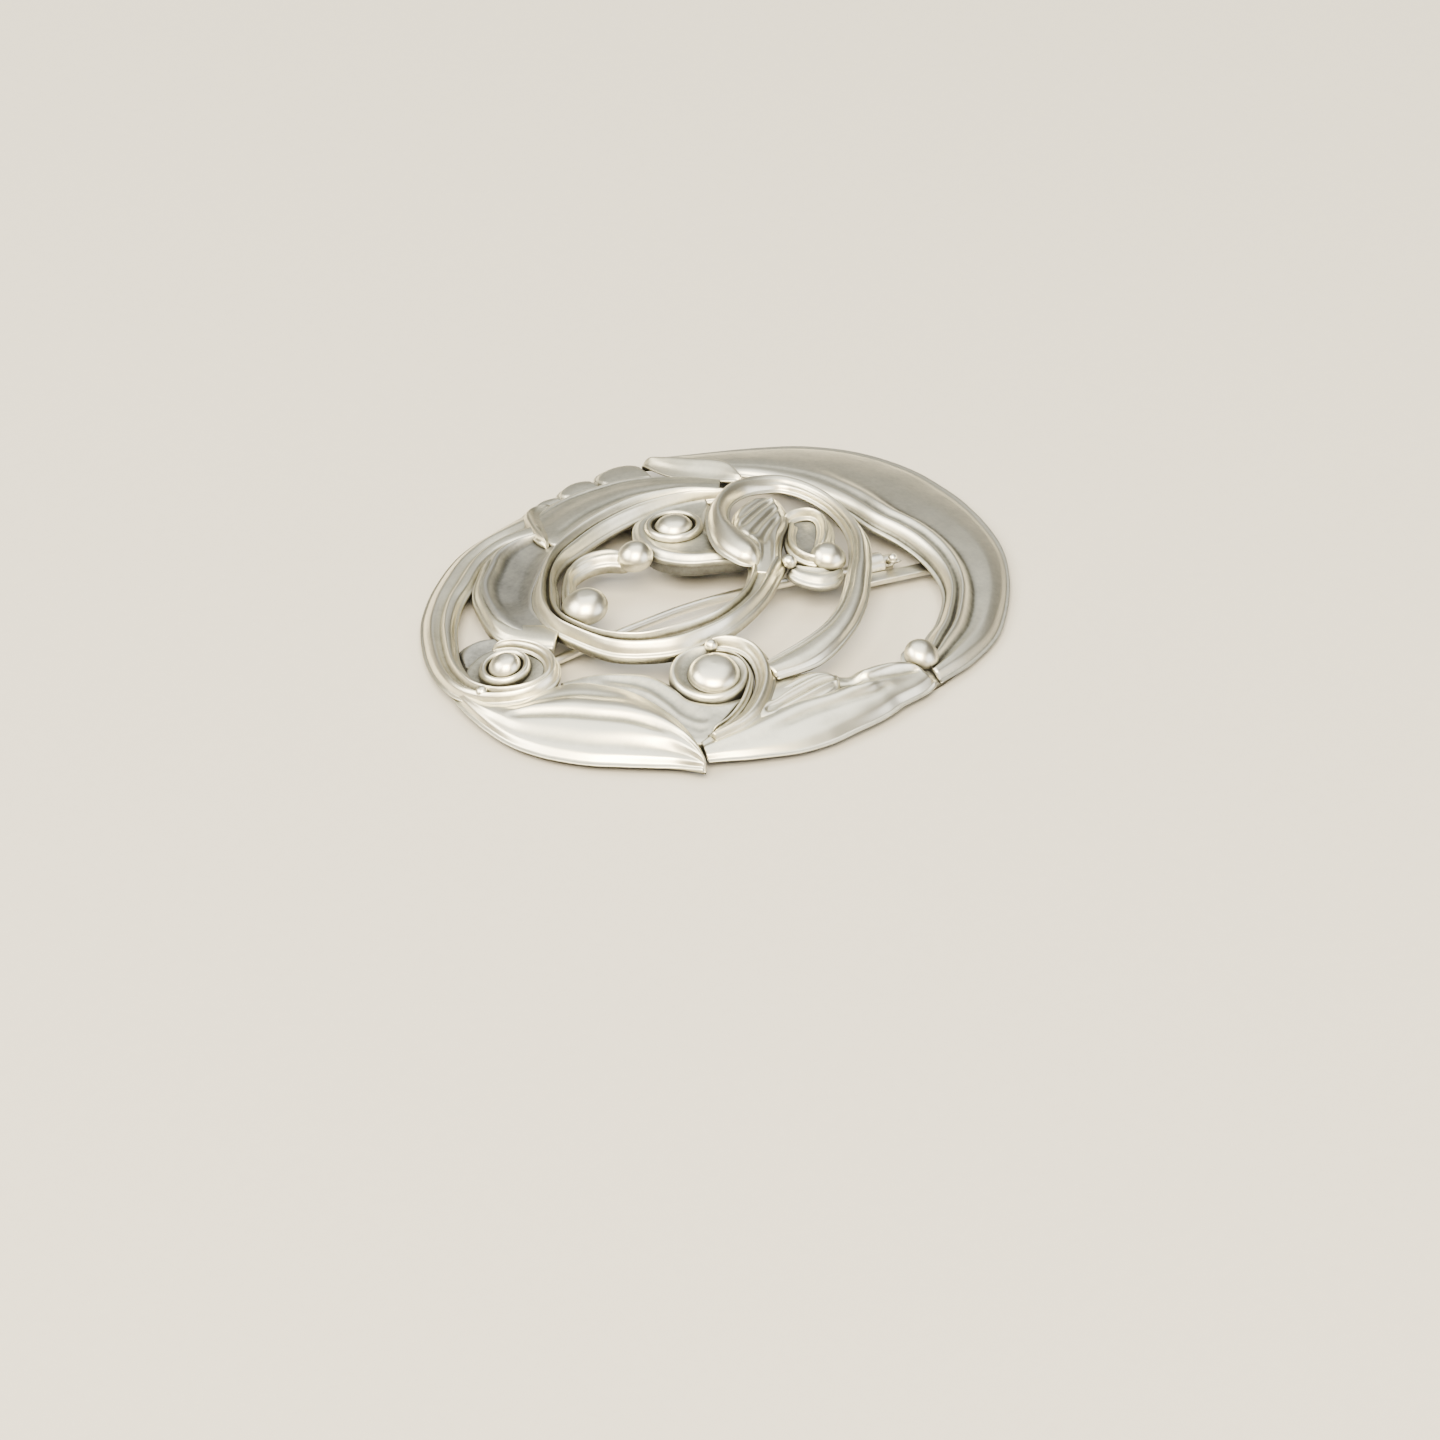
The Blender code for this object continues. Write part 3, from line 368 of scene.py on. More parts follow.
def silverFinish(name, look):
    material = bpy.data.materials.new(name)
    material.use_nodes = True
    tree = material.node_tree
    tree.nodes.clear()
    place = addNode(tree, "ShaderNodeTexCoord").outputs["Object"]
    total = addNode(tree, "ShaderNodeAttribute", {"attribute_name": "wear"}).outputs["Fac"]
    cloud, speck = (addNode(tree, "ShaderNodeTexNoise", None,
                            {"Vector": place, **tarnishAndShade[key]}).outputs["Fac"] for key in ("cloud", "speck"))
    # painted shade and tarnish: the recesses beside a neighbour, where shade falls and a cloth can't reach,
    # are darkened
    recess = addNode(tree, "ShaderNodeAmbientOcclusion", {"samples": 8},
                     {"Distance": tarnishAndShade["recessReach"]}).outputs["AO"]
    # each pattern's low and high ends, and what they add to the wear; the recess pattern adds painted shade
    # as well as tarnish
    for source, low, high, dull, bright in ((recess, 0.25, 0.85, -0.42 * look["dark"], 0.06),
                                            (cloud, 0.3, 0.7, -0.12, 0.10),
                                            (speck, 0.3, 0.7, -0.045, 0.04)):
        change = addNode(tree, "ShaderNodeMapRange", None,
                         {"Value": source, "From Min": low, "From Max": high,
                          "To Min": dull, "To Max": bright}).outputs["Result"]
        total = addNode(tree, "ShaderNodeMath", {"operation": "ADD"}, {0: total, 1: change}).outputs[0]
    ramp = addNode(tree, "ShaderNodeValToRGB", None, {"Fac": total})
    stops = ramp.color_ramp.elements
    at = tarnishAndShade["ramp"]
    for stop, key in ((stops[0], "groove"), (stops[1], "crest")):
        stop.position = at[key]
        stop.color = linearColour(look[key])
    middle = stops.new(at["middle"])                # added last, because it moves the others along
    middle.color = linearColour(look["middle"])
    rough = addNode(tree, "ShaderNodeMapRange", None,
                    {"Value": total, "From Min": at["groove"], "From Max": at["crest"],
                     "To Min": look["grooveRough"], "To Max": look["crestRough"]}).outputs["Result"]
    # two overlapping patterns of polishing scratches, which run along the brooch's length
    lines = []
    for angle in (0.5, 2.0):
        turned = addNode(tree, "ShaderNodeMapping", None,
                         {"Vector": place, "Rotation": (0.0, 0.0, angle), "Scale": tarnishAndShade["scratchSqueeze"]}
                         ).outputs["Vector"]
        lines.append(addNode(tree, "ShaderNodeTexNoise", None,
                             {"Vector": turned, **tarnishAndShade["scratch"]}).outputs["Fac"])
    scratches = addNode(tree, "ShaderNodeMath", {"operation": "ADD"}, {0: lines[0], 1: lines[1]}).outputs[0]
    height = addNode(tree, "ShaderNodeMath", {"operation": "MULTIPLY_ADD"},
                     {0: cloud, 1: 1.6, 2: scratches}).outputs[0]
    bump = addNode(tree, "ShaderNodeBump", None,
                   {"Strength": 0.10 * look["scratch"], "Distance": 0.06 * mm, "Height": height}
                   ).outputs["Normal"]
    shader = addNode(tree, "ShaderNodeBsdfPrincipled", None,
                     {"Base Color": ramp.outputs["Color"], "Metallic": 1.0, "Roughness": rough,
                      "Normal": bump})
    addNode(tree, "ShaderNodeOutputMaterial", None, {"Surface": shader.outputs["BSDF"]})
    return material


finishes = {name: silverFinish(name, look) for name, look in silverLooks.items()}

print("leaves")

flatBack = [(0, 0.9), (1, 0.9)]
rimBack = [(0, 1.6), (0.14, 1.6), (0.4, 0.95), (1, 0.9)]

crescent = {
    "edges": [(13.2, 20.4, 14.2, 11.2), (15.6, 18.4, 14.9, 10.4), (18.4, 16.4, 15.6, 8.9),
              (21.2, 14.4, 16, 7.2), (24.4, 11.7, 16.3, 5), (26.9, 7.6, 16.4, 2.2), (28, 2.5, 16.2, -1),
              (27.7, -1.9, 15.8, -4), (26.8, -6.2, 16, -7.5), (24.3, -12, 15.3, -11.4),
              (19.8, -17.1, 13.3, -14.8), (13.7, -21.3, 9.9, -17.1), (8.6, -22.7, 7.4, -18.1),
              (4.2, -22.9, 4.9, -19.6)],
    # outer edge, shoulder, slope, step, crest A, channel, crest B, shoulder, inner edge
    "stations": [
        (0, [(0, -.6), (.1, -.25), (.35, .05), (.58, .1), (.7, .1), (.78, .06), (.86, 0), (.94, -.1),
             (1, -.3)]),
        (.3, [(0, -.6), (.1, -.25), (.35, .14), (.6, .32), (.74, .34), (.82, .22), (.88, .2), (.95, 0),
             (1, -.4)]),
        (.45, [(0, -.6), (.1, -.28), (.38, .12), (.66, .26), (.8, .68), (.87, .44), (.92, .5), (.965, .2),
             (1, -.4)]),
        (.55, [(0, -.6), (.1, -.3), (.4, .1), (.68, .18), (.82, .95), (.89, .6), (.935, .72), (.97, .4),
             (1, -.4)]),
        (.64, [(0, -.6), (.1, -.28), (.36, .06), (.62, .06), (.78, .96), (.86, .64), (.92, .76),
             (.965, .35), (1, -.5)]),
        (.75, [(0, -.5), (.1, -.18), (.28, .08), (.56, -.04), (.74, .9), (.83, .54), (.905, .68), (.96, .2),
             (1, -.5)]),
        (.83, [(0, -.5), (.12, 0), (.26, .16), (.48, -.1), (.68, .78), (.775, .34), (.86, .58), (.94, .1),
             (1, -.5)]),
        (.91, [(0, -.5), (.14, .14), (.27, .18), (.44, -.12), (.59, .6), (.69, .18), (.79, .46), (.91, 0),
             (1, -.5)]),
        (1, [(0, -.5), (.15, .12), (.27, .15), (.4, -.14), (.52, .42), (.62, .04), (.73, .34), (.87, -.1),
             (1, -.5)]),
    ],
    "depth": [(0, .55), (.14, .75), (.4, .95), (1, .9)], "shine": .12, "rows": 170, "across": 84,
    "rim": .35,
    # the knock on the outer slope, left by wear
    "lines": [{"path": [(.365, .26), (.4, .13)], "width": .32, "cut": .14},
              {"path": [(.375, .2), (.42, .17)], "width": .28, "cut": -.1}],
}
reliefStrip("crescentBand", crescent, ["crescent_band"], "castSilverSatin")

foldLeaf = {
    "edges": [(13, 9.2, 13.5, 9.3), (12.2, 10.6, 14.3, 11), (11.6, 11.6, 14.6, 12.3),
              (10.9, 12.9, 14.3, 13.7), (10.3, 14.2, 13.5, 15.2), (10.1, 15.8, 12.7, 16.7),
              (10.2, 17.3, 12, 18), (10.4, 18.7, 11.5, 19.2), (10.6, 19.6, 11, 19.7)],
    "stations": [
        (0, [(0, .2), (.3, .4), (.55, .5), (.8, .45), (1, .2)]),
        (.3, [(0, -.1), (.25, .15), (.55, .6), (.85, .95), (1, .5)]),
        (.6, [(0, -.1), (.25, .15), (.5, .55), (.85, .9), (1, .5)]),
        (1, [(0, .2), (.3, .4), (.55, .55), (.8, .6), (1, .4)]),
    ],
    "depth": [(0, .3), (1, .9)], "rows": 80, "across": 26, "rim": .25, "ends": (.8, 1.2),
}
reliefStrip("foldLeaf", foldLeaf, ["fold_leaf"], "castSilverRubbed")

topLeaf = {
    "edges": [(12.7, 11.6, 10.2, 9.2), (10.9, 14.9, 7.9, 11), (9.6, 16.9, 6, 12.2), (7.8, 18.8, 3.6, 13.4),
              (5.1, 20.1, .9, 13.8), (2.4, 20.9, -1.8, 13.8), (-.6, 20.9, -4.6, 13.4),
              (-2.7, 20, -5.6, 14.2), (-4.6, 17.2, -5.6, 15.4)],
    "stations": [
        (0, [(0, -.3), (.1, -.05), (.3, 0), (.55, .08), (.8, 0), (1, -.1)]),
        (.5, [(0, -.4), (.08, 0), (.2, -.1), (.5, .12), (.75, .1), (1, -.1)]),
        (1, [(0, -.3), (.15, -.05), (.3, -.1), (.55, 0), (.8, 0), (1, -.1)]),
    ],
    "depth": flatBack, "across": 48, "rim": .3,
    "lines": [{"path": [(.1, .1), (.5, .13), (.86, .12)], "width": .3, "cut": .12},
              {"path": [(.12, .62), (.5, .7), (.8, .74)], "width": .5, "cut": .1}],
}
reliefStrip("topLeaf", topLeaf, ["top_leaf"], "castSilverSatin")

leafTips = {
    "tips": [
        [(-2.9, 20.6, -2.5, 20), (-.9, 22.1, -1, 20.6), (.7, 22.5, .6, 20.6), (2.4, 21.9, 2.2, 20.4)],
        [(1.9, 21.5, 2.2, 20.4), (2.8, 22.7, 3.2, 20.4), (4.4, 23, 4.2, 20.2), (5.8, 22.5, 5.1, 19.9),
         (6.4, 21.4, 5.9, 19.6)],
        [(6.1, 21, 6, 19.6), (7.4, 22.4, 7.2, 19), (9.4, 22.5, 8.3, 18.3), (10.9, 21.5, 9.2, 17.6),
         (11, 19.9, 9.9, 16.9)],
    ],
    "stations": [
        (0, [(0, -.7), (.25, -.45), (.6, -.4), (1, -.5)]),
        (.5, [(0, -.7), (.22, -.2), (.5, -.25), (1, -.5)]),
        (1, [(0, -.7), (.25, -.45), (.6, -.4), (1, -.5)]),
    ],
    "depth": [(0, 1.6), (1, 1.6)], "rows": 44, "across": 22, "ends": (.8, .8),
}
for number, tip in enumerate(leafTips["tips"], start=1):
    reliefStrip("leafTip" + str(number), dict(leafTips, edges=tip), ["leaf_tip_" + str(number)],
                "castSilverSatin")

hollowPetal = {
    "edges": [(-17.3, 3.4, -15.4, 3.8), (-18.4, 6.6, -14.9, 6.2), (-18.2, 9.6, -14.2, 8),
              (-16.8, 12.6, -12.6, 9.8), (-15, 15.2, -10.9, 11), (-12.2, 17, -9.1, 12.1),
              (-9.8, 18.3, -7.5, 13), (-7.4, 18.4, -5.9, 13.6), (-5.4, 17.4, -4.6, 14.2)],
    "stations": [
        (0, [(0, 0), (.2, .2), (.45, .2), (.75, .1), (1, 0)]),
        (.22, [(0, 0), (.2, .55), (.5, .25), (.8, .05), (1, 0)]),
        (.4, [(0, 0), (.17, .62), (.42, -.35), (.75, -.55), (1, -.1)]),
        (.7, [(0, 0), (.14, .5), (.34, -.5), (.7, -.66), (1, -.1)]),
        (1, [(0, 0), (.12, .25), (.3, -.3), (.7, -.4), (1, -.1)]),
    ],
    "depth": [(0, 1), (1, 1)], "across": 44,
}
reliefStrip("hollowPetal", hollowPetal, ["hollow_petal"], "oxidisedSilverAndPaintedShade")

# bright rolled rim round the petal's hollow, wide at its foot where it meets the volute
petalRim = {
    "edges": [(-17.4, 2.6, -15.3, 3.8), (-18.6, 4.8, -15.4, 5.6), (-19.2, 7.2, -16.3, 7.6),
              (-18.7, 9.2, -16.9, 9.4), (-17.2, 12.2, -16, 11.6), (-15.4, 14.7, -14.6, 13.5),
              (-12.6, 16.8, -12.2, 15.5), (-10.4, 17.9, -10.5, 16.6), (-8.6, 18.2, -8.8, 17.2)],
    "lift": [(0, 0), (.78, 0), (1, -.7)],
    "stations": [
        (0, [(0, 0), (.2, .25), (.5, .3), (.8, .25), (1, .1)]),
        (.22, [(0, 0), (.2, .35), (.45, .42), (.75, .3), (1, 0)]),
        (.4, [(0, .1), (.22, .5), (.45, .62), (.75, .4), (1, 0)]),
        (.8, [(0, .1), (.22, .45), (.45, .55), (.75, .35), (1, 0)]),
        (1, [(0, 0), (.22, .25), (.45, .3), (.75, .2), (1, 0)]),
    ],
    "depth": [(0, .8), (1, .7)], "rows": 110, "across": 24, "rim": .26, "ends": (0, .8),
}
reliefStrip("petalRim", petalRim, None, "castSilverRubbed")

# pointed hook where the top leaf's left end curls down over the stem
leafHook = {
    "edges": [(.2, 21.3, .4, 20.3), (-1.8, 21.7, -1, 20), (-3.5, 20.9, -1.8, 19.1), (-4.9, 18.9, -3, 17.7),
              (-5.9, 16.8, -4.4, 16), (-6.3, 15, -5.8, 14.7)],
    "stations": [
        (0, [(0, -.4), (.25, -.1), (.5, -.2), (.75, -.25), (1, -.4)]),
        (.5, [(0, -.1), (.22, .5), (.48, .15), (.75, -.05), (1, -.3)]),
        (1, [(0, .1), (.25, .4), (.5, .35), (.75, .25), (1, 0)]),
    ],
    "depth": [(0, .6), (1, .6)], "rows": 60, "across": 20, "rim": .22, "ends": (.8, 1),
}
reliefStrip("leafHook", leafHook, None, "castSilverRubbed")

largeLeaf = {
    "edges": [(-26.2, 6.6, -25.6, 5.8), (-27.1, 4.2, -25.6, 3.4), (-27.7, 1.6, -25.2, 1.2),
              (-28, -1.3, -23.6, -.4), (-27.8, -4, -21.4, -1.2), (-26.9, -6.9, -19.5, -2.6),
              (-25.4, -9.7, -18.3, -4.6), (-23.7, -11.9, -17.4, -7), (-22, -13.9, -17.1, -9.8),
              (-20.8, -15.3, -17.2, -12.6), (-20.1, -16.6, -17.9, -15), (-19.7, -17.7, -19, -17.4)],
    # edge, rolled rim, groove, swell, hollow, ridge, flank, edge
    "stations": [
        (0, [(0, -.4), (.15, -.1), (.3, 0), (.45, .1), (.58, .1), (.7, .1), (.85, .1), (1, 0)]),
        (.18, [(0, -.4), (.12, 0), (.26, .16), (.44, .38), (.58, .36), (.7, .32), (.85, .25), (1, 0)]),
        (.34, [(0, -.4), (.08, .02), (.17, .12), (.32, .48), (.46, .64), (.58, .85), (.78, .6), (1, .25)]),
        (.5, [(0, -.4), (.08, .05), (.17, .12), (.32, .58), (.46, .76), (.6, 1.05), (.8, .75), (1, .35)]),
        (.66, [(0, -.4), (.08, .08), (.18, .14), (.36, .7), (.5, .84), (.64, 1.12), (.82, .82), (1, .35)]),
        (.8, [(0, -.3), (.1, .1), (.22, .1), (.42, .75), (.55, .76), (.68, 1.05), (.84, .78), (1, .35)]),
        (.92, [(0, -.2), (.12, .15), (.26, .2), (.45, .6), (.58, .68), (.7, .85), (.85, .7), (1, .35)]),
        (1, [(0, 0), (.15, .2), (.3, .3), (.5, .45), (.6, .5), (.7, .55), (.85, .5), (1, .3)]),
    ],
    "depth": [(0, .5), (.16, .7), (.5, .9), (.76, .15), (1, .1)], "lift": [(0, 0), (.8, 0), (1, .35)],
    "shine": .2, "rows": 130, "across": 84, "rim": .34, "ends": (1.2, .5),
    "lines": [{"path": [(.2, .7), (.42, .77), (.64, .83)], "width": .6, "cut": .16},
              {"path": [(.26, .47), (.5, .5), (.78, .55)], "width": .46, "cut": .2}],
}
reliefStrip("largeLeaf", largeLeaf, ["large_leaf"], "castSilverRubbed")

innerLobe = {
    "edges": [(-19.8, -.8, -20.8, -2.4), (-17.5, -2.2, -19.6, -4.6), (-15.8, -4, -18.8, -6.9),
              (-14.3, -6.2, -18.5, -9), (-14, -8.8, -18.4, -11), (-14, -10.8, -18.3, -12.6),
              (-12.6, -12.7, -18, -14.2), (-10.4, -13.8, -17.2, -15.2)],
    "stations": [
        (0, [(0, -.4), (.2, -.1), (.4, -.05), (.7, -.2), (1, -.3)]),
        (.5, [(0, -.4), (.16, .15), (.34, .05), (.55, .12), (1, -.3)]),
        (1, [(0, -.4), (.2, -.1), (.4, -.15), (.7, -.2), (1, -.3)]),
    ],
    "depth": flatBack, "rows": 70, "across": 36, "rim": .3,
    "lines": [{"path": [(.18, .34), (.55, .42), (.9, .5)], "width": .55, "cut": .14},
              {"path": [(.3, .62), (.6, .68), (.95, .74)], "width": .45, "cut": .1}],
}
reliefStrip("innerLobe", innerLobe, ["inner_lobe"], "castSilverSatin")

lowerLeaf = {
    "edges": [(-18.3, -16.8, -17, -14.6), (-14.8, -19.4, -13.2, -14.4), (-11.6, -21.3, -9.8, -13.8),
              (-8.8, -22.3, -7, -13.6), (-6.2, -22.7, -5.2, -14.8), (-4, -23, -3.5, -16),
              (-2, -23.1, -2.7, -17.3), (-.6, -23, -1.7, -17.8), (.7, -23.1, -.5, -18.2),
              (2, -23.2, .9, -18.8), (3.1, -23.1, 2.3, -19.5), (4, -22.8, 3.5, -21)],
    # rim, outer roll, dip, long ridge, groove, lobe, edge
    "stations": [
        (0, [(0, -.4), (.14, -.1), (.32, -.05), (.5, 0), (.68, -.1), (.85, -.1), (1, -.3)]),
        (.2, [(0, -.4), (.12, 0), (.28, .2), (.46, .42), (.62, .15), (.8, .1), (1, -.3)]),
        (.36, [(0, -.4), (.12, .05), (.28, .32), (.44, .55), (.6, .15), (.8, .05), (1, -.25)]),
        (.5, [(0, -.4), (.12, .1), (.3, .42), (.48, .76), (.66, .25), (.84, -.05), (1, -.2)]),
        (.64, [(0, -.4), (.13, .12), (.32, .4), (.52, .8), (.74, 1.05), (.9, .55), (1, -.3)]),
        (.8, [(0, -.4), (.14, .15), (.34, .35), (.54, .65), (.74, 1.05), (.9, .65), (1, -.3)]),
        (.92, [(0, -.3), (.16, .2), (.36, .35), (.54, .5), (.72, .75), (.88, .5), (1, -.2)]),
        (1, [(0, -.1), (.18, .25), (.36, .35), (.54, .4), (.7, .4), (.86, .3), (1, 0)]),
    ],
    "depth": [(0, .5), (.14, .7), (.45, .9), (1, .9)], "shine": .2, "rows": 130, "across": 84, "rim": .34,
    "ends": (0, 1),
    "lines": [{"path": [(.14, .36), (.4, .34), (.7, .38)], "width": .46, "cut": .14},
              {"path": [(.2, .62), (.46, .64), (.6, .66)], "width": .4, "cut": .16},
              {"path": [(.56, .6), (.74, .56), (.96, .55)], "width": .42, "cut": .26}],
}
reliefStrip("lowerLeaf", lowerLeaf, ["lower_leaf"], "castSilverRubbed")

# the leaf's short upper lobe, with a round end beside the long swell
leafLobe = {
    "edges": [(-12.6, -17.2, -11.6, -15.2), (-10.6, -18.2, -9.2, -15), (-8.6, -18.9, -7.4, -14.8),
              (-6.8, -19.3, -5.7, -14.9), (-5.2, -19.4, -4.3, -15.4), (-4.1, -19, -3.2, -16.6),
              (-3.5, -18.4, -3, -17.4)],
    "stations": [
        (0, [(0, 0), (.3, .2), (.6, .2), (1, -.1)]),
        (.4, [(0, -.1), (.25, .55), (.6, .62), (1, -.1)]),
        (.75, [(0, 0), (.25, .8), (.6, .9), (1, -.1)]),
        (1, [(0, 0), (.3, .55), (.6, .6), (1, 0)]),
    ],
    "depth": [(0, .1), (1, .9)], "shine": .2, "rows": 70, "rim": .34, "ends": (1, 1.4),
    "lines": [{"path": [(.08, .48), (.45, .46), (.94, .4)], "width": .4, "cut": .42},
              {"path": [(.14, .78), (.45, .74), (.88, .68)], "width": .36, "cut": .34},
              {"path": [(.14, .22), (.45, .22), (.8, .2)], "width": .3, "cut": .22}],
}
reliefStrip("leafLobe", leafLobe, None, "castSilverRubbed")

endCollar = {
    "edges": [(3.4, -22.5, 3, -20.6), (4.6, -22.6, 3.4, -19.2), (5.8, -22.5, 4.4, -18.1),
              (7.2, -22.3, 6.9, -17.9)],
    "stations": [
        (0, [(0, -.6), (.2, -.4), (.5, -.35), (.8, -.4), (1, -.6)]),
        (1, [(0, -.7), (.2, -.5), (.5, -.5), (.8, -.5), (1, -.7)]),
    ],
    "depth": rimBack, "rows": 30, "across": 26, "rim": .3,
}
reliefStrip("endCollar", endCollar, ["end_collar"], "castSilverSatin")

print("stems")

stemBack = [(0, 0.6), (1, 0.6)]

loopStem = {
    "edges": [(11.2, 8.2, 10, 7.4), (9.9, 9.6, 8.7, 8.2), (8.3, 11.4, 7.3, 9.2), (6.5, 12.9, 5.8, 9.9),
              (3.9, 14.4, 3, 10.8), (1.2, 14.8, .3, 11.2), (-1.6, 14.8, -2.4, 11.3), (-4.4, 14.4, -5.2, 11),
              (-7.2, 13.4, -7.8, 10.6), (-10, 11.7, -10.1, 9.4), (-12.9, 9.7, -11.7, 7.5),
              (-14.8, 7.4, -13.2, 5.8), (-15.9, 4.6, -14, 3.9), (-16, 1.4, -13.8, 1.2),
              (-15.4, -2.1, -13, -.7), (-13.8, -4.5, -11.4, -2.6), (-11.6, -6.4, -9.2, -3.7),
              (-9, -7.3, -7.4, -4.4), (-6.3, -7.7, -5.7, -4.9), (-3.7, -7.5, -3.9, -4.9),
              (-1, -6.9, -1.6, -4.5), (1.2, -6, .6, -3.3), (3.2, -5, 2.2, -2), (4.8, -4.2, 3.6, -1)],
    # edge, main ridge, groove, second ridge, edge
    "stations": [
        (0, [(0, .1), (.14, .4), (.3, .55), (.48, .45), (.6, .35), (.76, .5), (.9, .3), (1, 0)]),
        (.1, [(0, .1), (.14, .7), (.3, 1), (.48, .75), (.58, .42), (.74, .95), (.9, .5), (1, 0)]),
        (.25, [(0, .1), (.14, .8), (.3, 1.15), (.5, .78), (.6, .4), (.75, .98), (.9, .4), (1, -.1)]),
        (.4, [(0, .2), (.14, .75), (.28, 1.15), (.48, .7), (.6, .45), (.76, 1.05), (.9, .7), (1, .2)]),
        (.55, [(0, .2), (.14, .85), (.3, 1.2), (.46, .8), (.6, .45), (.76, 1.15), (.9, .9), (1, .3)]),
        (.72, [(0, .3), (.12, .85), (.26, 1.2), (.44, .65), (.66, .42), (.82, 1.1), (.92, .9), (1, .4)]),
        (.88, [(0, .3), (.1, .85), (.22, 1.1), (.4, .55), (.68, .4), (.86, 1), (.94, .8), (1, .4)]),
        (1, [(0, .2), (.1, .6), (.22, .75), (.4, .45), (.68, .35), (.86, .65), (.94, .5), (1, .3)]),
    ],
    "depth": stemBack, "shine": .12, "rows": 260, "across": 48, "rim": .3, "ends": (.8, 0),
}
reliefStrip("loopStem", loopStem, ["loop_stem"], "castSilverRubbed")

outerTendril = {
    "edges": [(-7.4, -14.6, -7.3, -12.3), (-4.2, -15.6, -4.9, -12.4), (-1.7, -15.6, -2.3, -12.5),
              (.9, -15, .5, -12.3), (3.6, -14, 3.1, -11.5), (6.2, -12.5, 5.4, -10.2),
              (8.8, -10.5, 7.5, -8.7), (11, -8.6, 9.8, -6.9), (13.2, -6.2, 11.7, -4.8),
              (14.8, -3.1, 13.1, -2.3), (15.8, .1, 13.8, .2), (16, 3.1, 13.8, 2.8), (15.4, 5.6, 13.1, 4.5),
              (13.4, 7.3, 11.4, 5.3), (10.5, 8, 9.6, 5.6), (7.9, 7.4, 7.7, 5.2), (5.3, 6.1, 6.1, 4.1),
              (3.2, 4.2, 5.1, 2.7), (1.7, 2.3, 4.7, 1), (.8, .4, 4.4, -.4), (.7, -1.6, 4, -1.7),
              (1.3, -3.2, 3.4, -2.8)],
    "stations": [
        (0, [(0, .2), (.15, .55), (.4, .7), (.65, .62), (.8, .5), (.9, .6), (1, .2)]),
        (.25, [(0, .3), (.15, .9), (.4, 1.05), (.62, .92), (.76, .7), (.88, .82), (1, .35)]),
        (.45, [(0, .3), (.15, .85), (.38, 1.2), (.58, 1.05), (.74, .72), (.86, .85), (1, .35)]),
        (.6, [(0, .3), (.15, .8), (.38, 1.2), (.58, 1.1), (.74, .86), (.86, .7), (1, .3)]),
        (.72, [(0, 0), (.08, .52), (.25, 1), (.5, 1.24), (.75, 1), (.92, .52), (1, 0)]),
        (1, [(0, 0), (.08, .5), (.25, .92), (.5, 1.12), (.75, .92), (.92, .5), (1, 0)]),
    ],
    "lift": [(0, 0), (.35, .05), (.55, .3), (.7, .9), (.93, .95), (1, .6)],
    "depth": [(0, 0), (.5, .05), (1, 0)], "rows": 220, "rim": .24, "ends": (0, 1.3), "shine": .15,
}
reliefStrip("outerTendril", outerTendril, ["outer_tendril"], "castSilverRubbed")

leftStem = {
    "edges": [(-2.4, 21.7, -5, 16.2), (-6.8, 21.9, -7.9, 17.7), (-10.5, 21.6, -11.2, 17.2),
              (-14.3, 20.1, -14.3, 15.5), (-18.1, 17.9, -17, 14.2), (-21.1, 15.4, -19.4, 12.3),
              (-23.8, 12.1, -21.2, 10.4), (-25.9, 8.4, -23.2, 7.8), (-26.7, 5.2, -24.3, 5),
              (-26.2, 2.4, -24, 2.8), (-24.6, .1, -22.9, 1.5), (-22.5, -1.1, -21.6, .8),
              (-20.4, -1.1, -20.2, .9), (-18.6, .5, -19.3, 2), (-17.9, 3.1, -19.1, 3.6),
              (-18.5, 5.7, -19.6, 5.4), (-20, 7.6, -20.6, 6.6)],
    # edge, bright outer roll, thin groove, inner ridge, edge
    "stations": [
        (0, [(0, -.5), (.12, -.1), (.28, .1), (.42, -.05), (.52, -.15), (.7, .3), (.88, .2), (1, -.2)]),
        (.2, [(0, -.5), (.12, -.1), (.28, .2), (.42, .05), (.52, -.1), (.7, .5), (.88, .3), (1, -.2)]),
        (.38, [(0, -.5), (.12, 0), (.28, .25), (.42, .05), (.52, -.05), (.7, .65), (.88, .4), (1, -.2)]),
        (.48, [(0, -.2), (.12, .4), (.28, .55), (.42, .25), (.52, .15), (.72, .8), (.88, .5), (1, 0)]),
        (.62, [(0, .1), (.12, .6), (.28, .85), (.44, .5), (.54, .35), (.74, .75), (.88, .6), (1, .1)]),
        (.8, [(0, .1), (.14, .6), (.32, .9), (.5, .8), (.64, .6), (.78, .55), (.9, .4), (1, 0)]),
        (1, [(0, .1), (.16, .5), (.34, .65), (.5, .62), (.64, .5), (.78, .4), (.9, .3), (1, 0)]),
    ],
    "sink": [(0, .8), (.38, .7), (.47, .3), (1, .3)], "depth": [(0, 0), (1, 0)], "shine": .15, "rows": 220,
    "across": 44, "ends": (0, 1.2),
}
reliefStrip("leftStem", leftStem, ["left_stem"], "castSilverRubbed")

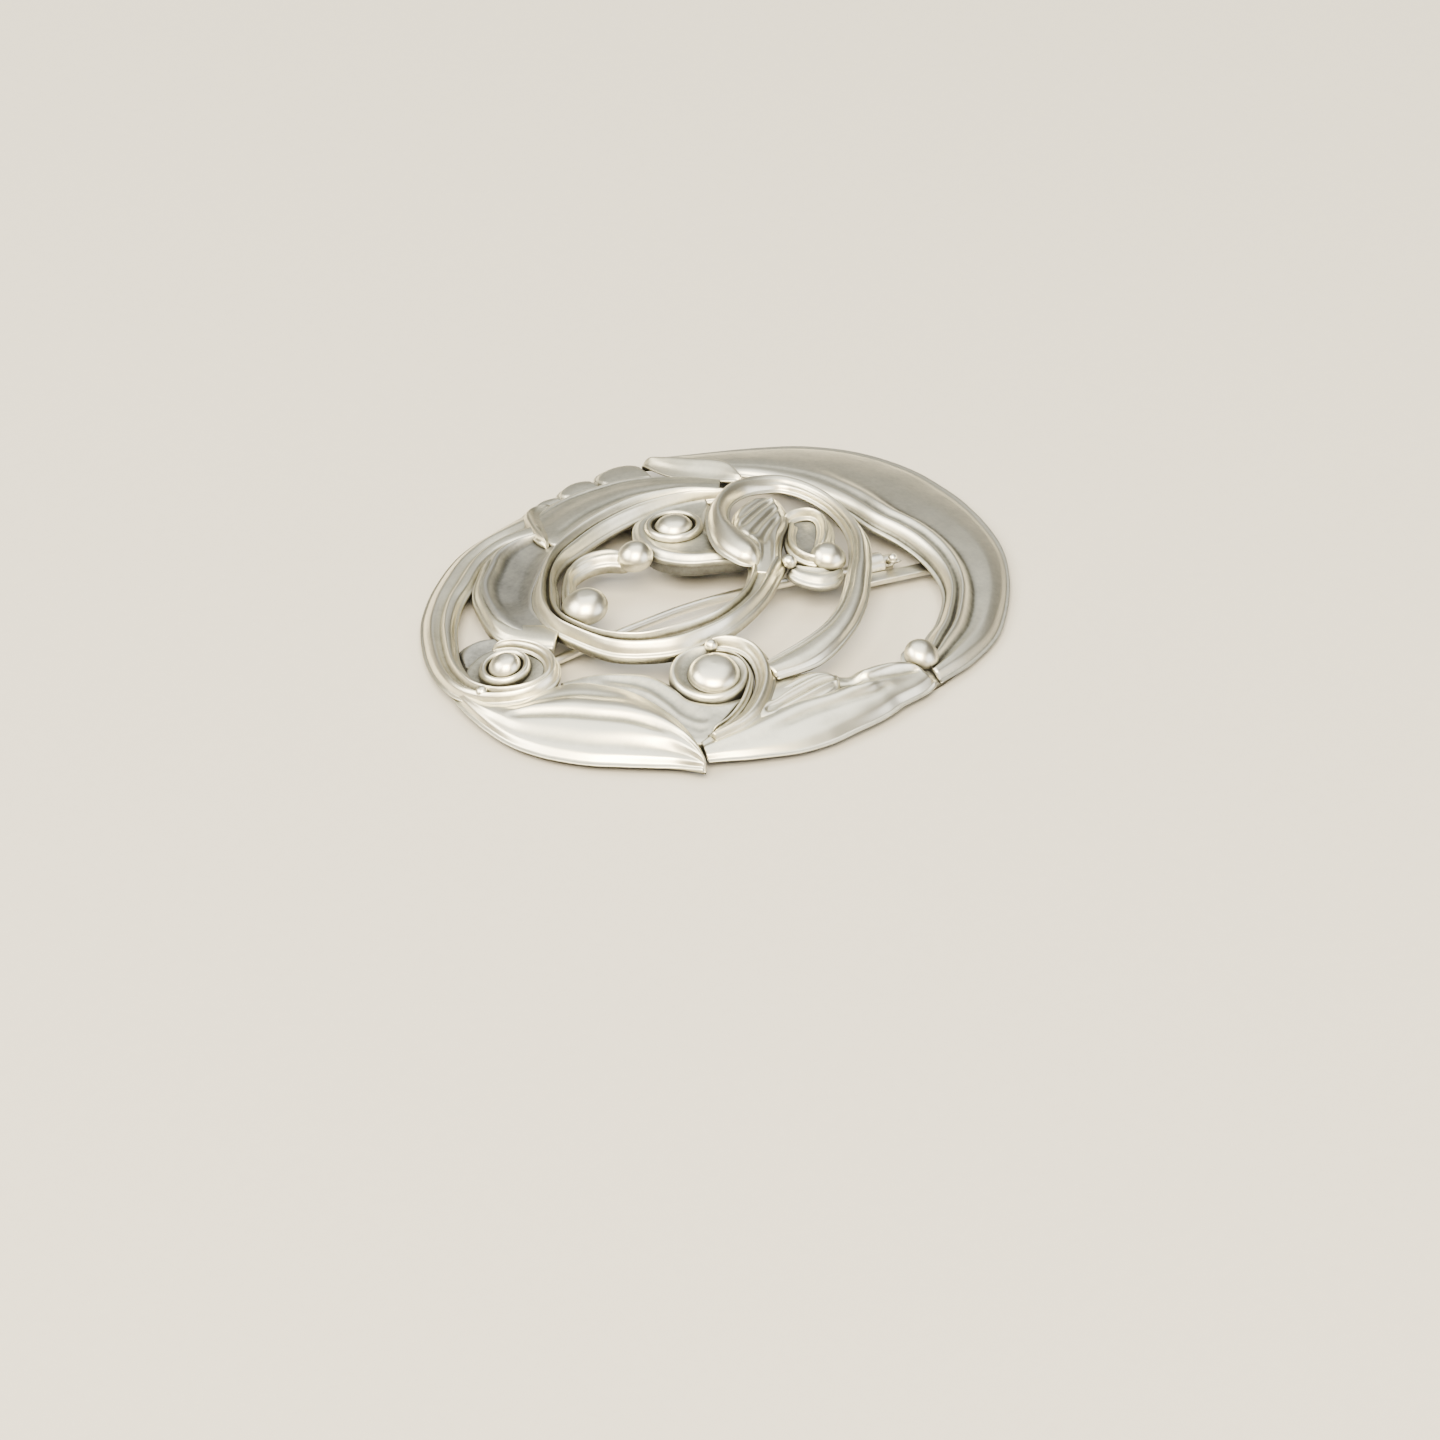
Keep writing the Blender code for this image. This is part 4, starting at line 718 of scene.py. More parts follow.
innerTendril = {
    "edges": [(-12.4, 6.6, -11.4, 5.8), (-11.3, 7.8, -10.2, 6.9), (-9.7, 9.1, -9.4, 7.9),
              (-8.2, 10, -8.3, 8.2), (-6.6, 10.2, -7, 8), (-5, 9.6, -5.9, 7.3), (-3.7, 8.2, -5.2, 6.3),
              (-3, 7.2, -4.4, 5.8)],
    "stations": [
        (0, [(0, .1), (.25, .5), (.5, .6), (.75, .5), (1, 0)]),
        (.4, [(0, .2), (.22, .75), (.45, 1), (.7, .85), (1, .2)]),
        (.75, [(0, .2), (.22, .8), (.45, 1.05), (.7, .9), (1, .2)]),
        (1, [(0, .1), (.25, .5), (.5, .6), (.75, .5), (1, 0)]),
    ],
    "depth": [(0, .8), (1, .8)], "rows": 80, "across": 26, "rim": .32, "ends": (0, .8),
    "lines": [{"path": [(.05, .7), (.5, .66), (.85, .6)], "width": .26, "cut": .14}],
}
reliefStrip("innerTendril", innerTendril, ["inner_tendril"], "castSilverRubbed")

lowerScroll = {
    "edges": [(-8.6, -6.9, -9, -7.8), (-6.7, -7.8, -7.9, -8.9), (-5.7, -9.8, -7.4, -10.4),
              (-5.9, -12, -8, -12.1), (-7.4, -14.4, -9.4, -13.7), (-10.2, -16.3, -11.6, -14.8),
              (-13, -16.9, -13.8, -15.3), (-16.4, -16.2, -16.3, -14.8)],
    "stations": [
        (0, [(0, .1), (.25, .5), (.5, .7), (.75, .5), (1, 0)]),
        (.4, [(0, .2), (.22, .85), (.42, 1), (.68, .7), (1, .1)]),
        (.8, [(0, .2), (.22, .75), (.42, .85), (.68, .6), (1, .1)]),
        (1, [(0, 0), (.25, .4), (.5, .5), (.75, .4), (1, 0)]),
    ],
    "depth": [(0, .5), (1, .5)], "rows": 100, "across": 28, "rim": .34, "ends": (.8, 0),
    "lines": [{"path": [(.25, .74), (.5, .72), (.95, .7)], "width": .22, "cut": .12}],
}
reliefStrip("lowerScroll", lowerScroll, ["lower_scroll"], "castSilverRubbed")

# second, finer ring between the scroll and the dish
scrollRing = {
    "edges": [(-9.2, -7.7, -9.6, -8.2), (-8.1, -9, -8.6, -9.3), (-7.7, -10.4, -8.3, -10.6),
              (-8.2, -12.2, -8.8, -12.1), (-9.6, -13.7, -10, -13.2), (-11.6, -14.8, -11.8, -14.1),
              (-13.8, -15.3, -13.9, -14.6), (-15.8, -15.1, -15.8, -14.5)],
    "stations": [
        (0, [(0, .1), (.3, .3), (.6, .3), (1, .1)]),
        (.5, [(0, .1), (.3, .5), (.6, .5), (1, 0)]),
        (1, [(0, -.1), (.3, .2), (.6, .2), (1, 0)]),
    ],
    "depth": [(0, .6), (1, .6)], "rows": 80, "across": 16, "rim": .2, "ends": (.6, .8),
}
reliefStrip("scrollRing", scrollRing, None, "castSilverRubbed")

print("bud and cup")

budFan = {
    "edges": [(1.2, -3, 2.6, -4.9), (2.6, -2.1, 4.4, -3.8), (4, -.8, 5.8, -2.5), (4.3, .6, 7.4, -1.3),
              (4.5, 2.1, 9.2, -.2), (5.5, 3.3, 10.5, 1.2), (7.1, 4.5, 11.2, 2.4), (9, 5.1, 11.5, 3.3),
              (10.3, 5, 11.3, 4.2)],
    "stations": [
        (0, [(0, .1), (.15, .35), (.35, .4), (.6, .4), (.85, .35), (1, .1)]),
        (.25, [(0, .3), (.15, .75), (.35, .55), (.6, .5), (.86, .75), (1, .2)]),
        (.6, [(0, .2), (.12, .65), (.35, .75), (.6, .75), (.86, .7), (1, .2)]),
        (1, [(0, .1), (.15, .45), (.35, .6), (.6, .7), (.85, .8), (1, .4)]),
    ],
    "lift": [(0, .1), (.5, .45), (1, .5)], "shine": .3, "depth": flatBack, "rows": 110, "across": 66,
    "ends": (0, 1.2),
    # folds that sweep from the fan's left edge towards the curl
    "lines": [{"path": [(.5, .08), (.62, .34), (.84, .92)], "width": .5, "cut": .3},
              {"path": [(.38, .18), (.5, .46), (.7, .92)], "width": .48, "cut": .28},
              {"path": [(.26, .34), (.38, .56), (.58, .9)], "width": .42, "cut": .24},
              {"path": [(.62, .08), (.74, .36), (.95, .86)], "width": .5, "cut": .24}],
}
reliefStrip("budFan", budFan, ["bud_fan"], "castSilverRubbed")

# the seat under the curl takes the dark oxidised finish: painted shade for the dark gap beside the curl
budSeat = {
    "edges": [(9.6, .8, 10.9, 1.2), (8.5, -.8, 12.4, .4), (7.2, -2, 12.7, -1.1), (6.4, -3.4, 11.7, -2.9),
              (6.2, -4.8, 10.4, -4.2), (6.7, -5.9, 9.4, -5.4)],
    "stations": [
        (0, [(0, .1), (.3, .1), (.7, .1), (1, 0)]),
        (.5, [(0, .1), (.3, -.1), (.7, -.1), (1, .1)]),
        (1, [(0, .1), (.3, .1), (.7, .1), (1, 0)]),
    ],
    "depth": flatBack, "rows": 60, "across": 30, "rim": .26, "ends": (.5, .5),
}
reliefStrip("budSeat", budSeat, None, "oxidisedSilverAndPaintedShade")

# petal that curls over the hollow, then the fold that runs from under it into the berry
budCurl = {
    "edges": [(9.3, 1.7, 9.6, .2), (11, 1.6, 10.8, .2), (12.8, .5, 11.7, -.3), (13.2, -1.2, 11.7, -1),
              (12.1, -3, 10.9, -2), (10.6, -4.3, 9.7, -3), (8.9, -5.1, 8.3, -3.9)],
    "stations": [
        (0, [(0, .3), (.25, .7), (.5, .8), (.75, .6), (1, .2)]),
        (.35, [(0, .2), (.25, .95), (.5, 1.1), (.75, .9), (1, .3)]),
        (.7, [(0, .2), (.25, .75), (.5, .9), (.75, .7), (1, .2)]),
        (1, [(0, .1), (.25, .45), (.5, .5), (.75, .4), (1, .1)]),
    ],
    "depth": [(0, .5), (1, .1)], "across": 28, "rim": .34, "ends": (1, 1.2),
    "lines": [{"path": [(.3, .3), (.5, .34), (.8, .4)], "width": .24, "cut": .16}],
}
reliefStrip("budCurl", budCurl, None, "castSilverRubbed")

budFold = {
    "edges": [(10, .9, 10.5, -.2), (8.3, -.5, 9, -1.3), (6.9, -1.8, 7.9, -2.4), (6.1, -3.3, 7.2, -3.6),
              (6, -4.9, 7.2, -4.6), (6.8, -6.2, 7.6, -5.2), (8.6, -6.8, 8.8, -5.7), (9.8, -6.3, 9.4, -5.4)],
    "stations": [
        (0, [(0, .2), (.25, .5), (.5, .6), (.75, .5), (1, .1)]),
        (.4, [(0, .2), (.25, .75), (.5, .9), (.75, .7), (1, .1)]),
        (.8, [(0, .2), (.25, .75), (.5, .85), (.75, .7), (1, .2)]),
        (1, [(0, .1), (.25, .5), (.5, .6), (.75, .4), (1, .1)]),
    ],
    "depth": [(0, .4), (1, .2)], "across": 24, "ends": (.8, .8),
}
reliefStrip("budFold", budFold, ["bud_lip"], "castSilverRubbed")

underPetal = {
    "edges": [(4.2, -4.3, 5.4, -4.2), (4, -5.6, 6, -5.2), (4.3, -6.9, 6.6, -6), (5.1, -8, 7.2, -6.5),
              (6.6, -8.5, 8.1, -6.7), (8.3, -7.9, 9.1, -6.7)],
    "stations": [
        (0, [(0, -.3), (.3, 0), (.55, 0), (.75, -.1), (1, 0)]),
        (.5, [(0, -.3), (.3, .15), (.55, .18), (.75, -.1), (1, .1)]),
        (1, [(0, -.3), (.3, 0), (.55, 0), (.75, -.1), (1, 0)]),
    ],
    "depth": flatBack, "rows": 60, "across": 30, "rim": .34, "ends": (.8, .8),
}
reliefStrip("budUnderPetal", underPetal, ["bud_under_petal"], "castSilverSatin")

cup = {
    "edges": [(7.8, 8.8, 7.6, 8), (5.6, 10.1, 6.6, 7.3), (3.4, 10.9, 5.8, 6.6), (.9, 10.7, 5.1, 6),
              (-.9, 9.3, 4.6, 5.6), (-1.9, 7.5, 4.2, 5.2), (-2.4, 5.5, 3.9, 4.8), (-2, 3.6, 3.8, 4.3),
              (-.9, 1.9, 3.8, 3.6), (.7, .6, 4, 2.6), (2.4, -.6, 4.6, 1.6), (3.7, -1.3, 5.4, .4)],
    "stations": [
        (0, [(0, .2), (.12, .4), (.3, .3), (.6, .2), (1, 0)]),
        (.35, [(0, .1), (.08, .45), (.22, .2), (.5, .1), (1, 0)]),
        (.6, [(0, .1), (.1, .55), (.26, .25), (.6, .15), (1, .1)]),
        (.85, [(0, .1), (.15, .5), (.35, .35), (.65, .2), (1, .1)]),
        (1, [(0, 0), (.2, .3), (.4, .25), (.7, .2), (1, 0)]),
    ],
    "depth": [(0, .45), (1, .9)], "rows": 100, "across": 44, "rim": .22, "ends": (0, .8),
}
reliefStrip("cup", cup, ["cup"], "castSilverSatin")

# dark turned-in wall of the cup under its rim, given the dark oxidised finish as painted shade for the shadow
# there
cupBowl = {
    "edges": [(3.2, 9.9, 5.8, 6.8), (.9, 9.9, 5.1, 6.2), (-.6, 8.7, 4.6, 5.8), (-1.5, 7.1, 4.2, 5.4),
              (-1.9, 5.4, 3.9, 5), (-1.5, 3.8, 3.8, 4.5), (-.5, 2.3, 3.8, 3.8), (1, 1.1, 4, 2.8),
              (2.6, 0, 4.6, 1.8), (3.8, -.7, 5.4, .6)],
    "stations": [
        (0, [(0, -.5), (.3, -.4), (.7, -.3), (1, -.3)]),
        (1, [(0, -.5), (.3, -.4), (.7, -.3), (1, -.3)]),
    ],
    "depth": [(0, 1.75), (.3, 1.9), (1, 1)], "rows": 80, "across": 24, "rim": .3, "ends": (0, .8),
}
reliefStrip("cupBowl", cupBowl, None, "oxidisedSilverAndPaintedShade")

hood = {
    "edges": [(-23.2, 8, -23, 6.6), (-22.2, 9.6, -21.9, 6.8), (-20.8, 10, -20.7, 7),
              (-19.4, 9.2, -19.6, 6.8), (-18.4, 7.6, -19, 6.4)],
    "stations": [
        (0, [(0, -.6), (.3, -.3), (.6, -.3), (1, -.4)]),
        (.5, [(0, -.6), (.25, -.1), (.6, -.3), (1, -.45)]),
        (1, [(0, -.6), (.3, -.3), (.6, -.3), (1, -.4)]),
    ],
    "depth": [(0, 1.1), (1, 1.1)], "rows": 44, "across": 24, "rim": .3,
}
reliefStrip("voluteHood", hood, ["upper_volute_hood"], "oxidisedSilverAndPaintedShade")

print("beads")

beads = {                                           # profiles are rows of (radius, height, wear)
    "berry": {
        "centre": (-11.9, 4.2), "node": "berry",
        "profile": [(0, 1.75, .9), (.7, 1.68, .9), (1.35, 1.38, .85), (1.85, .85, .75), (2.05, .3, .6),
                    (1.9, -.25, .4), (1.3, -.7, .25), (0, -.85, .2)]},
    "drop": {
        "centre": (-3.7, 6.2), "node": "drop",
        "profile": [(0, 1.75, .95), (.55, 1.66, .9), (1.05, 1.38, .85), (1.45, .9, .75), (1.62, .35, .6),
                    (1.45, -.25, .4), (.9, -.7, .3), (0, -.85, .2)]},
    "endBead": {
        "centre": (5, -19.9), "node": "end_bead",
        "profile": [(0, 1.15, .95), (.55, 1.08, .9), (1.05, .82, .85), (1.42, .35, .7), (1.5, -.1, .5),
                    (1.38, -.4, .3), (0, -.42, .2)]},
    "cupBead": {
        "centre": (2.2, 7.2), "node": "cup_bead",
        "profile": [(0, 1.3, .95), (.65, 1.24, .9), (1.2, 1.02, .85), (1.6, .62, .7), (1.7, .36, .45),
                    (1.6, .15, .3), (0, .1, .2)]},
    "upperVoluteBead": {
        "centre": (-21.8, 4), "node": "upper_volute_bead",
        "profile": [(0, 1.32, .95), (.55, 1.25, .92), (1, 1, .88), (1.34, .52, .75), (1.44, .05, .4),
                    (1.32, -.2, .3), (0, -.24, .2)]},
    "lowerVoluteBead": {
        "centre": (-10.9, -10.4), "node": "lower_volute_bead",
        "profile": [(0, 1.2, .95), (.9, 1.12, .92), (1.6, .9, .85), (2.05, .52, .7), (2.2, .12, .5),
                    (2.1, -.12, .3), (0, -.2, .2)]},
    "budBerry": {
        "centre": (8.2, -5.9),
        "profile": [(0, 1.55, .95), (.58, 1.47, .9), (1.1, 1.18, .85), (1.48, .68, .7), (1.58, .2, .5),
                    (1.4, -.2, .3), (0, -.4, .2)]},
    "budPip": {
        "centre": (4.9, -4.3), "steps": 20, "segments": 32,
        "profile": [(0, 1.05, .95), (.35, .96, .9), (.58, .7, .8), (.64, .35, .6), (.5, 0, .4),
                    (0, -.1, .3)]},
    "stemNub": {
        "centre": (-25.4, 3.2), "steps": 20, "segments": 32,
        "profile": [(0, .95, .95), (.3, .88, .9), (.5, .66, .8), (.55, .4, .6), (.42, .1, .4), (0, 0, .3)]},
    "lowerVoluteKnob": {
        "centre": (-8.9, -8.1), "node": "lower_volute_knob", "steps": 20, "segments": 32,
        "profile": [(0, 1.1, .95), (.3, 1.02, .9), (.5, .78, .8), (.55, .5, .6), (.42, .2, .4),
                    (0, .1, .3)]},
    "upperVoluteDish": {
        "centre": (-21.8, 4), "node": "upper_volute_dish", "finish": "castSilverSatin", "segments": 72,
        "profile": [(0, -.22, .3), (1.6, -.22, .3), (2.6, -.24, .35), (3.25, -.2, .45), (3.5, -.35, .45),
                    (3.52, -.6, .35), (3.4, -.9, .2), (1.8, -.92, .2), (0, -.92, .2)]},
    "lowerVoluteDish": {
        "centre": (-11, -9.9), "node": "lower_volute_dish", "finish": "castSilverSatin", "segments": 72,
        "profile": [(0, -.1, .3), (1.8, -.1, .3), (2.4, -.06, .35), (2.8, .12, .65), (3.1, .28, .85),
                    (3.36, .05, .7), (3.42, -.5, .4), (3.3, -.9, .2), (1.8, -.92, .2), (0, -.92, .2)]},
    "cupRing": {
        "centre": (2.2, 7.2), "node": "cup_ring", "ring": True, "segments": 72,
        "profile": [(1.95, .1, .2), (1.93, .45, .3), (2.05, .7, .55), (2.25, .8, .85), (2.45, .7, .8),
                    (2.62, .4, .6), (2.64, .1, .3), (2.3, 0, .2), (2, 0, .2)]},
    "upperVoluteRing": {
        "centre": (-21.8, 4), "node": "upper_volute_ring", "ring": True, "segments": 72,
        "profile": [(1.5, -.25, .2), (1.52, .15, .35), (1.66, .45, .6), (1.9, .58, .85), (2.1, .42, .8),
                    (2.22, .1, .5), (2.22, -.25, .3), (1.85, -.35, .2), (1.55, -.32, .2)]},
}
for name, look in beads.items():
    replaced = [look["node"]] if "node" in look else None
    turnedPiece(name, look, replaced, look.get("finish", "castSilverRubbed"))

print("hinge, pin and catch")

fittings = {                                        # mm and degrees
    "hingeAt": (-20.3, 4.1, 0.8), "hingeTurn": -13.0,
    "knuckleRadius": 0.70, "knuckleLength": 1.5, "pitch": 1.6, "bore": 0.40,
    "rivetRadius": 0.35, "rivetHead": 0.55, "rivetHeadLength": 0.3, "rivetStand": 0.2,
    "plateLength": 2.4, "plateWidth": 4.8, "plateGap": 0.1,
    "pinRadius": 0.42, "pinOvershoot": 3.0, "pinBow": 0.6,
    "pinTurns": 0.45,                               # share of its reach where it starts to bend sideways
    "pinThins": 0.8,                                # and where it starts to taper
    "catchAt": (12.8, -6.6, 1.25), "catchTurn": -25.0,
    "catchRadius": 1.15, "catchWall": 0.35, "catchLength": 2.4, "slot": 100.0,
    "sleeveRadius": 0.75, "sleeveWall": 0.25, "overhang": 0.9, "seat": 0.05,
    "leverRadius": 0.28, "leverLength": 0.9, "leverLift": 45.0, "leverKnob": 0.42,
    "stripWidth": 1.4, "stripReach": 6.0,
    "tubeEdge": 0.08, "barEdge": 0.1,               # rounding of the edges
}


def placed(points, at, turn):
    # points drawn along a fitting's own axes, turned about Z and moved to its place
    c, k = math.cos(math.radians(turn)), math.sin(math.radians(turn))
    return [(at[0] + x * c - y * k, at[1] + x * k + y * c, at[2] + z) for x, y, z in points]


def wirePiece(name, rings, at, turn, body, replaced):
    # drawn wire: each ring is (centre, the wire's direction, radius, wear)
    segments = 28
    verts, wear = [], []
    for number, (centre, along, radius, shine) in enumerate(rings):
        along = Vector(along).normalized()
        side = along.cross(Vector((0, 0, 1))) if abs(along.z) < 0.95 else along.cross(Vector((0, 1, 0)))
        side.normalize()
        lift = side.cross(along)
        for step in range(segments):
            angle = 2 * math.pi * step / segments
            out = side * math.cos(angle) + lift * math.sin(angle)
            ripple = wobble(centre[0] + step * 0.3, number * 0.2, hand["wireEvery"], 5.0)
            verts.append(tuple(Vector(centre) + out * radius * (1 + hand["wireShare"] * ripple)))
            wear.append(shine)
    faces = bandFaces(len(rings), segments, segments) + endCaps(len(rings), segments)
    newPiece(name, placed(verts, at, turn), faces, wear, body, replaced, "drawnSilverWire", 50)


def tubePiece(name, outer, inner, span, slot, sideways, at, turn, body, replaced):
    # rolled tube with softened ends, open along a slot that faces down; sideways lays it across the pin
    segments = 48
    soft = min(fittings["tubeEdge"], (outer - inner) * 0.3)
    half = math.radians(slot) / 2
    count = segments + 1 if slot else segments
    low, high = span
    rows = [(low + soft, outer), (low, outer - soft), (low, inner + soft), (low + soft, inner),
            (high - soft, inner), (high, inner + soft), (high, outer - soft), (high - soft, outer)]
    verts, wear = [], []
    for x, radius in rows:
        for step in range(count):
            angle = -math.pi / 2 + half + (2 * math.pi - 2 * half) * step / segments
            y, z = radius * math.cos(angle), radius * math.sin(angle)
            verts.append((-y, x, z) if sideways else (x, y, z))
            wear.append(0.75 if radius > inner + soft else 0.25)
    faces = bandFaces(len(rows), segments, count, True)
    if slot:
        faces.append(tuple(i * count for i in range(len(rows))))
        faces.append(tuple(i * count + segments for i in reversed(range(len(rows)))))
    newPiece(name, placed(verts, at, turn), faces, wear, body, replaced, "drawnSilverWire", 40)


def barPiece(name, flat, at, turn, box, replaced):
    # flat strip with every edge filed round, between the heights of the solid that it stands for
    heights = [corner[2] / mm for corner in box]
    corners = [(x, y) for x, y, z in placed([(x, y, 0) for x, y in flat], at, turn)]
    shape = bmesh.new()
    ends = [[shape.verts.new((x * mm, y * mm, z * mm)) for x, y in corners] for z in heights]
    for i in range(4):
        j = (i + 1) % 4
        shape.faces.new((ends[0][i], ends[0][j], ends[1][j], ends[1][i]))
    shape.faces.new(list(reversed(ends[0])))
    shape.faces.new(ends[1])
    bmesh.ops.bevel(shape, geom=list(shape.edges), offset=fittings["barEdge"] * mm, segments=4,
                    affect="EDGES", profile=0.5)
    verts = [tuple(c / mm for c in v.co) for v in shape.verts]
    shape.verts.index_update()
    faces = [tuple(v.index for v in face.verts) for face in shape.faces]
    shape.free()
    newPiece(name, verts, faces, [0.55] * len(verts), "brooch", replaced, "drawnSilverWire", 40)


def hingeAndPin():
    f = fittings
    at, turn = f["hingeAt"], f["hingeTurn"]
    half = f["knuckleLength"] / 2
    for name, place, body, node in (("hingeKnuckleNear", -f["pitch"], "brooch", "hinge_knuckle_near"),
                                    ("hingeKnuckleFar", f["pitch"], "brooch", "hinge_knuckle_far"),
                                    ("pinKnuckle", 0.0, "pin", "pin_knuckle")):
        tubePiece(name, f["knuckleRadius"], f["bore"], (place - half, place + half), 0, True,
                  at, turn, body, [node])
    shank = 1.5 * f["knuckleLength"] + f["rivetStand"]
    head = shank + f["rivetHeadLength"]
    # the head is filed round: (distance along the rivet, radius), outwards in
    ends = [(head, 0.25), (head - 0.03, 0.42), (head - 0.1, 0.52), (shank + 0.05, f["rivetHead"]),
            (shank, f["rivetHead"] - 0.03), (shank - 0.01, f["rivetRadius"])]
    rings = [((0, -y, 0), (0, 1, 0), radius, 0.7) for y, radius in ends]
    rings += [((0, y, 0), (0, 1, 0), radius, 0.7) for y, radius in reversed(ends)]
    wirePiece("hingeRivet", rings, at, turn, "brooch", ["hinge_rivet"])

    stop = -f["knuckleRadius"] - f["plateGap"]
    start, side = stop - f["plateLength"], f["plateWidth"] / 2
    flat = [(start, -side), (stop, -side), (stop, side), (start, side)]
    barPiece("hingePlate", flat, at, turn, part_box("hinge_plate"), ["hinge_plate"])

    # the pin bows up behind the brooch, bends sideways to the catch and tapers to its point
    c, k = math.cos(math.radians(turn)), math.sin(math.radians(turn))
    away = np.array(f["catchAt"]) - np.array(at)
    reach, swing, rise = away[0] * c + away[1] * k, -away[0] * k + away[1] * c, away[2]
    slope = math.tan(math.radians(f["catchTurn"] - turn))
    path, radii = [(f["knuckleRadius"] + f["seat"], 0, 0)], [f["pinRadius"]]
    for share in np.linspace(0.04, 1.0, 46):
        bend = max(0, (share - f["pinTurns"]) / (1 - f["pinTurns"])) ** 1.5
        path.append((reach * share, swing * bend, rise * share + f["pinBow"] * math.sin(math.pi * share)))
        radii.append(f["pinRadius"] * (1 - max(0, share - f["pinThins"])))
    for share in (0.2, 0.4, 0.6, 0.8, 0.92, 1.0):
        step = f["pinOvershoot"] * share
        path.append((reach + step, swing + slope * step, rise))
        radii.append(f["pinRadius"] * (0.8 - 0.5 * share ** 1.3))
    path = np.array(path)
    along = np.gradient(path, axis=0)
    rings = [(tuple(p), tuple(d), r, 0.8) for p, d, r in zip(path, along, radii)]
    wirePiece("pinStem", rings, at, turn, "pin", ["pin_stem"])


def rollOverCatch():
    f = fittings
    at, turn = f["catchAt"], f["catchTurn"]
    half = f["catchLength"] / 2
    tubePiece("catchBarrel", f["catchRadius"], f["catchRadius"] - f["catchWall"], (-half, half),
              f["slot"], False, at, turn, "brooch", ["catch_barrel"])
    tubePiece("catchSleeve", f["sleeveRadius"], f["sleeveRadius"] - f["sleeveWall"],
              (-half, half + f["overhang"]), f["slot"], False, at, turn, "catch_lock", ["catch_sleeve"])
    # the lever leans out and up from the sleeve's end: (distance out, radius), then its round knob
    lean = math.radians(f["leverLift"])
    out = Vector((0, -math.cos(lean), math.sin(lean)))
    foot = Vector((half + f["overhang"] / 2, 0, 0))
    begin = f["sleeveRadius"] + f["seat"]
    neck = begin + f["leverLength"]
    rows = [(begin, f["leverRadius"] * 1.05), (begin + 0.2, f["leverRadius"] * 0.9),
            (neck - 0.25, f["leverRadius"] * 0.82), (neck, f["leverRadius"])]
    for degrees in range(50, 180, 12):
        a = math.radians(degrees)
        rows.append((neck + f["leverKnob"] * (0.8 - math.cos(a)), f["leverKnob"] * math.sin(a)))
    rings = [(tuple(foot + out * d), tuple(out), r, 0.85) for d, r in rows]
    wirePiece("catchLever", rings, at, turn, "catch_lock", ["catch_lever"])

    side = -(f["catchRadius"] + f["seat"])
    low, end = side - f["stripWidth"], f["stripReach"]
    flat = [(-half, low), (end, low), (end, side), (-half, side)]
    barPiece("catchStrip", flat, at, turn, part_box("catch_strip"), ["catch_strip"])


hingeAndPin()
rollOverCatch()

print("floor, light and camera")

room = {
    "floor": "#BDBAB2",
    "floorSize": 6.0,                               # metres
    "floorGap": 0.02 * mm,                          # below the brooch's resting face
    "sky": "#C9CCCF",
    "skyStrength": 0.09,
    # soft boxes that face the brooch: place and size in metres, watts, tint
    "boxes": {
        "keyBox": ((-0.60, -0.50, 0.95), (0.8, 0.6), 66.0, "#FFEECC"),
        "fillBox": ((0.30, -0.95, 0.40), (0.8, 0.6), 6.0, "#F8F9FF"),
        "windowBox": ((-0.75, 0.50, 0.80), (0.9, 0.6), 26.0, "#FFF6E4"),
        "farBox": ((0.66, 0.62, 0.66), (0.9, 0.6), 0.8, "#FBFCFA"),
        "topBox": ((0.12, 0.12, 1.0), (1.1, 1.0), 10.0, "#FBFCFA"),
    },
    # the camera: 35 degrees above the brooch, from the hinge's near side, with a long lens
    "lens": 126.79,
    "cameraAt": (-0.267322, -0.258063, 0.247369),
    "cameraForward": (0.59057, 0.56888, -0.57236),
    "cameraRight": (0.69267, -0.72125, -0.00215),
}


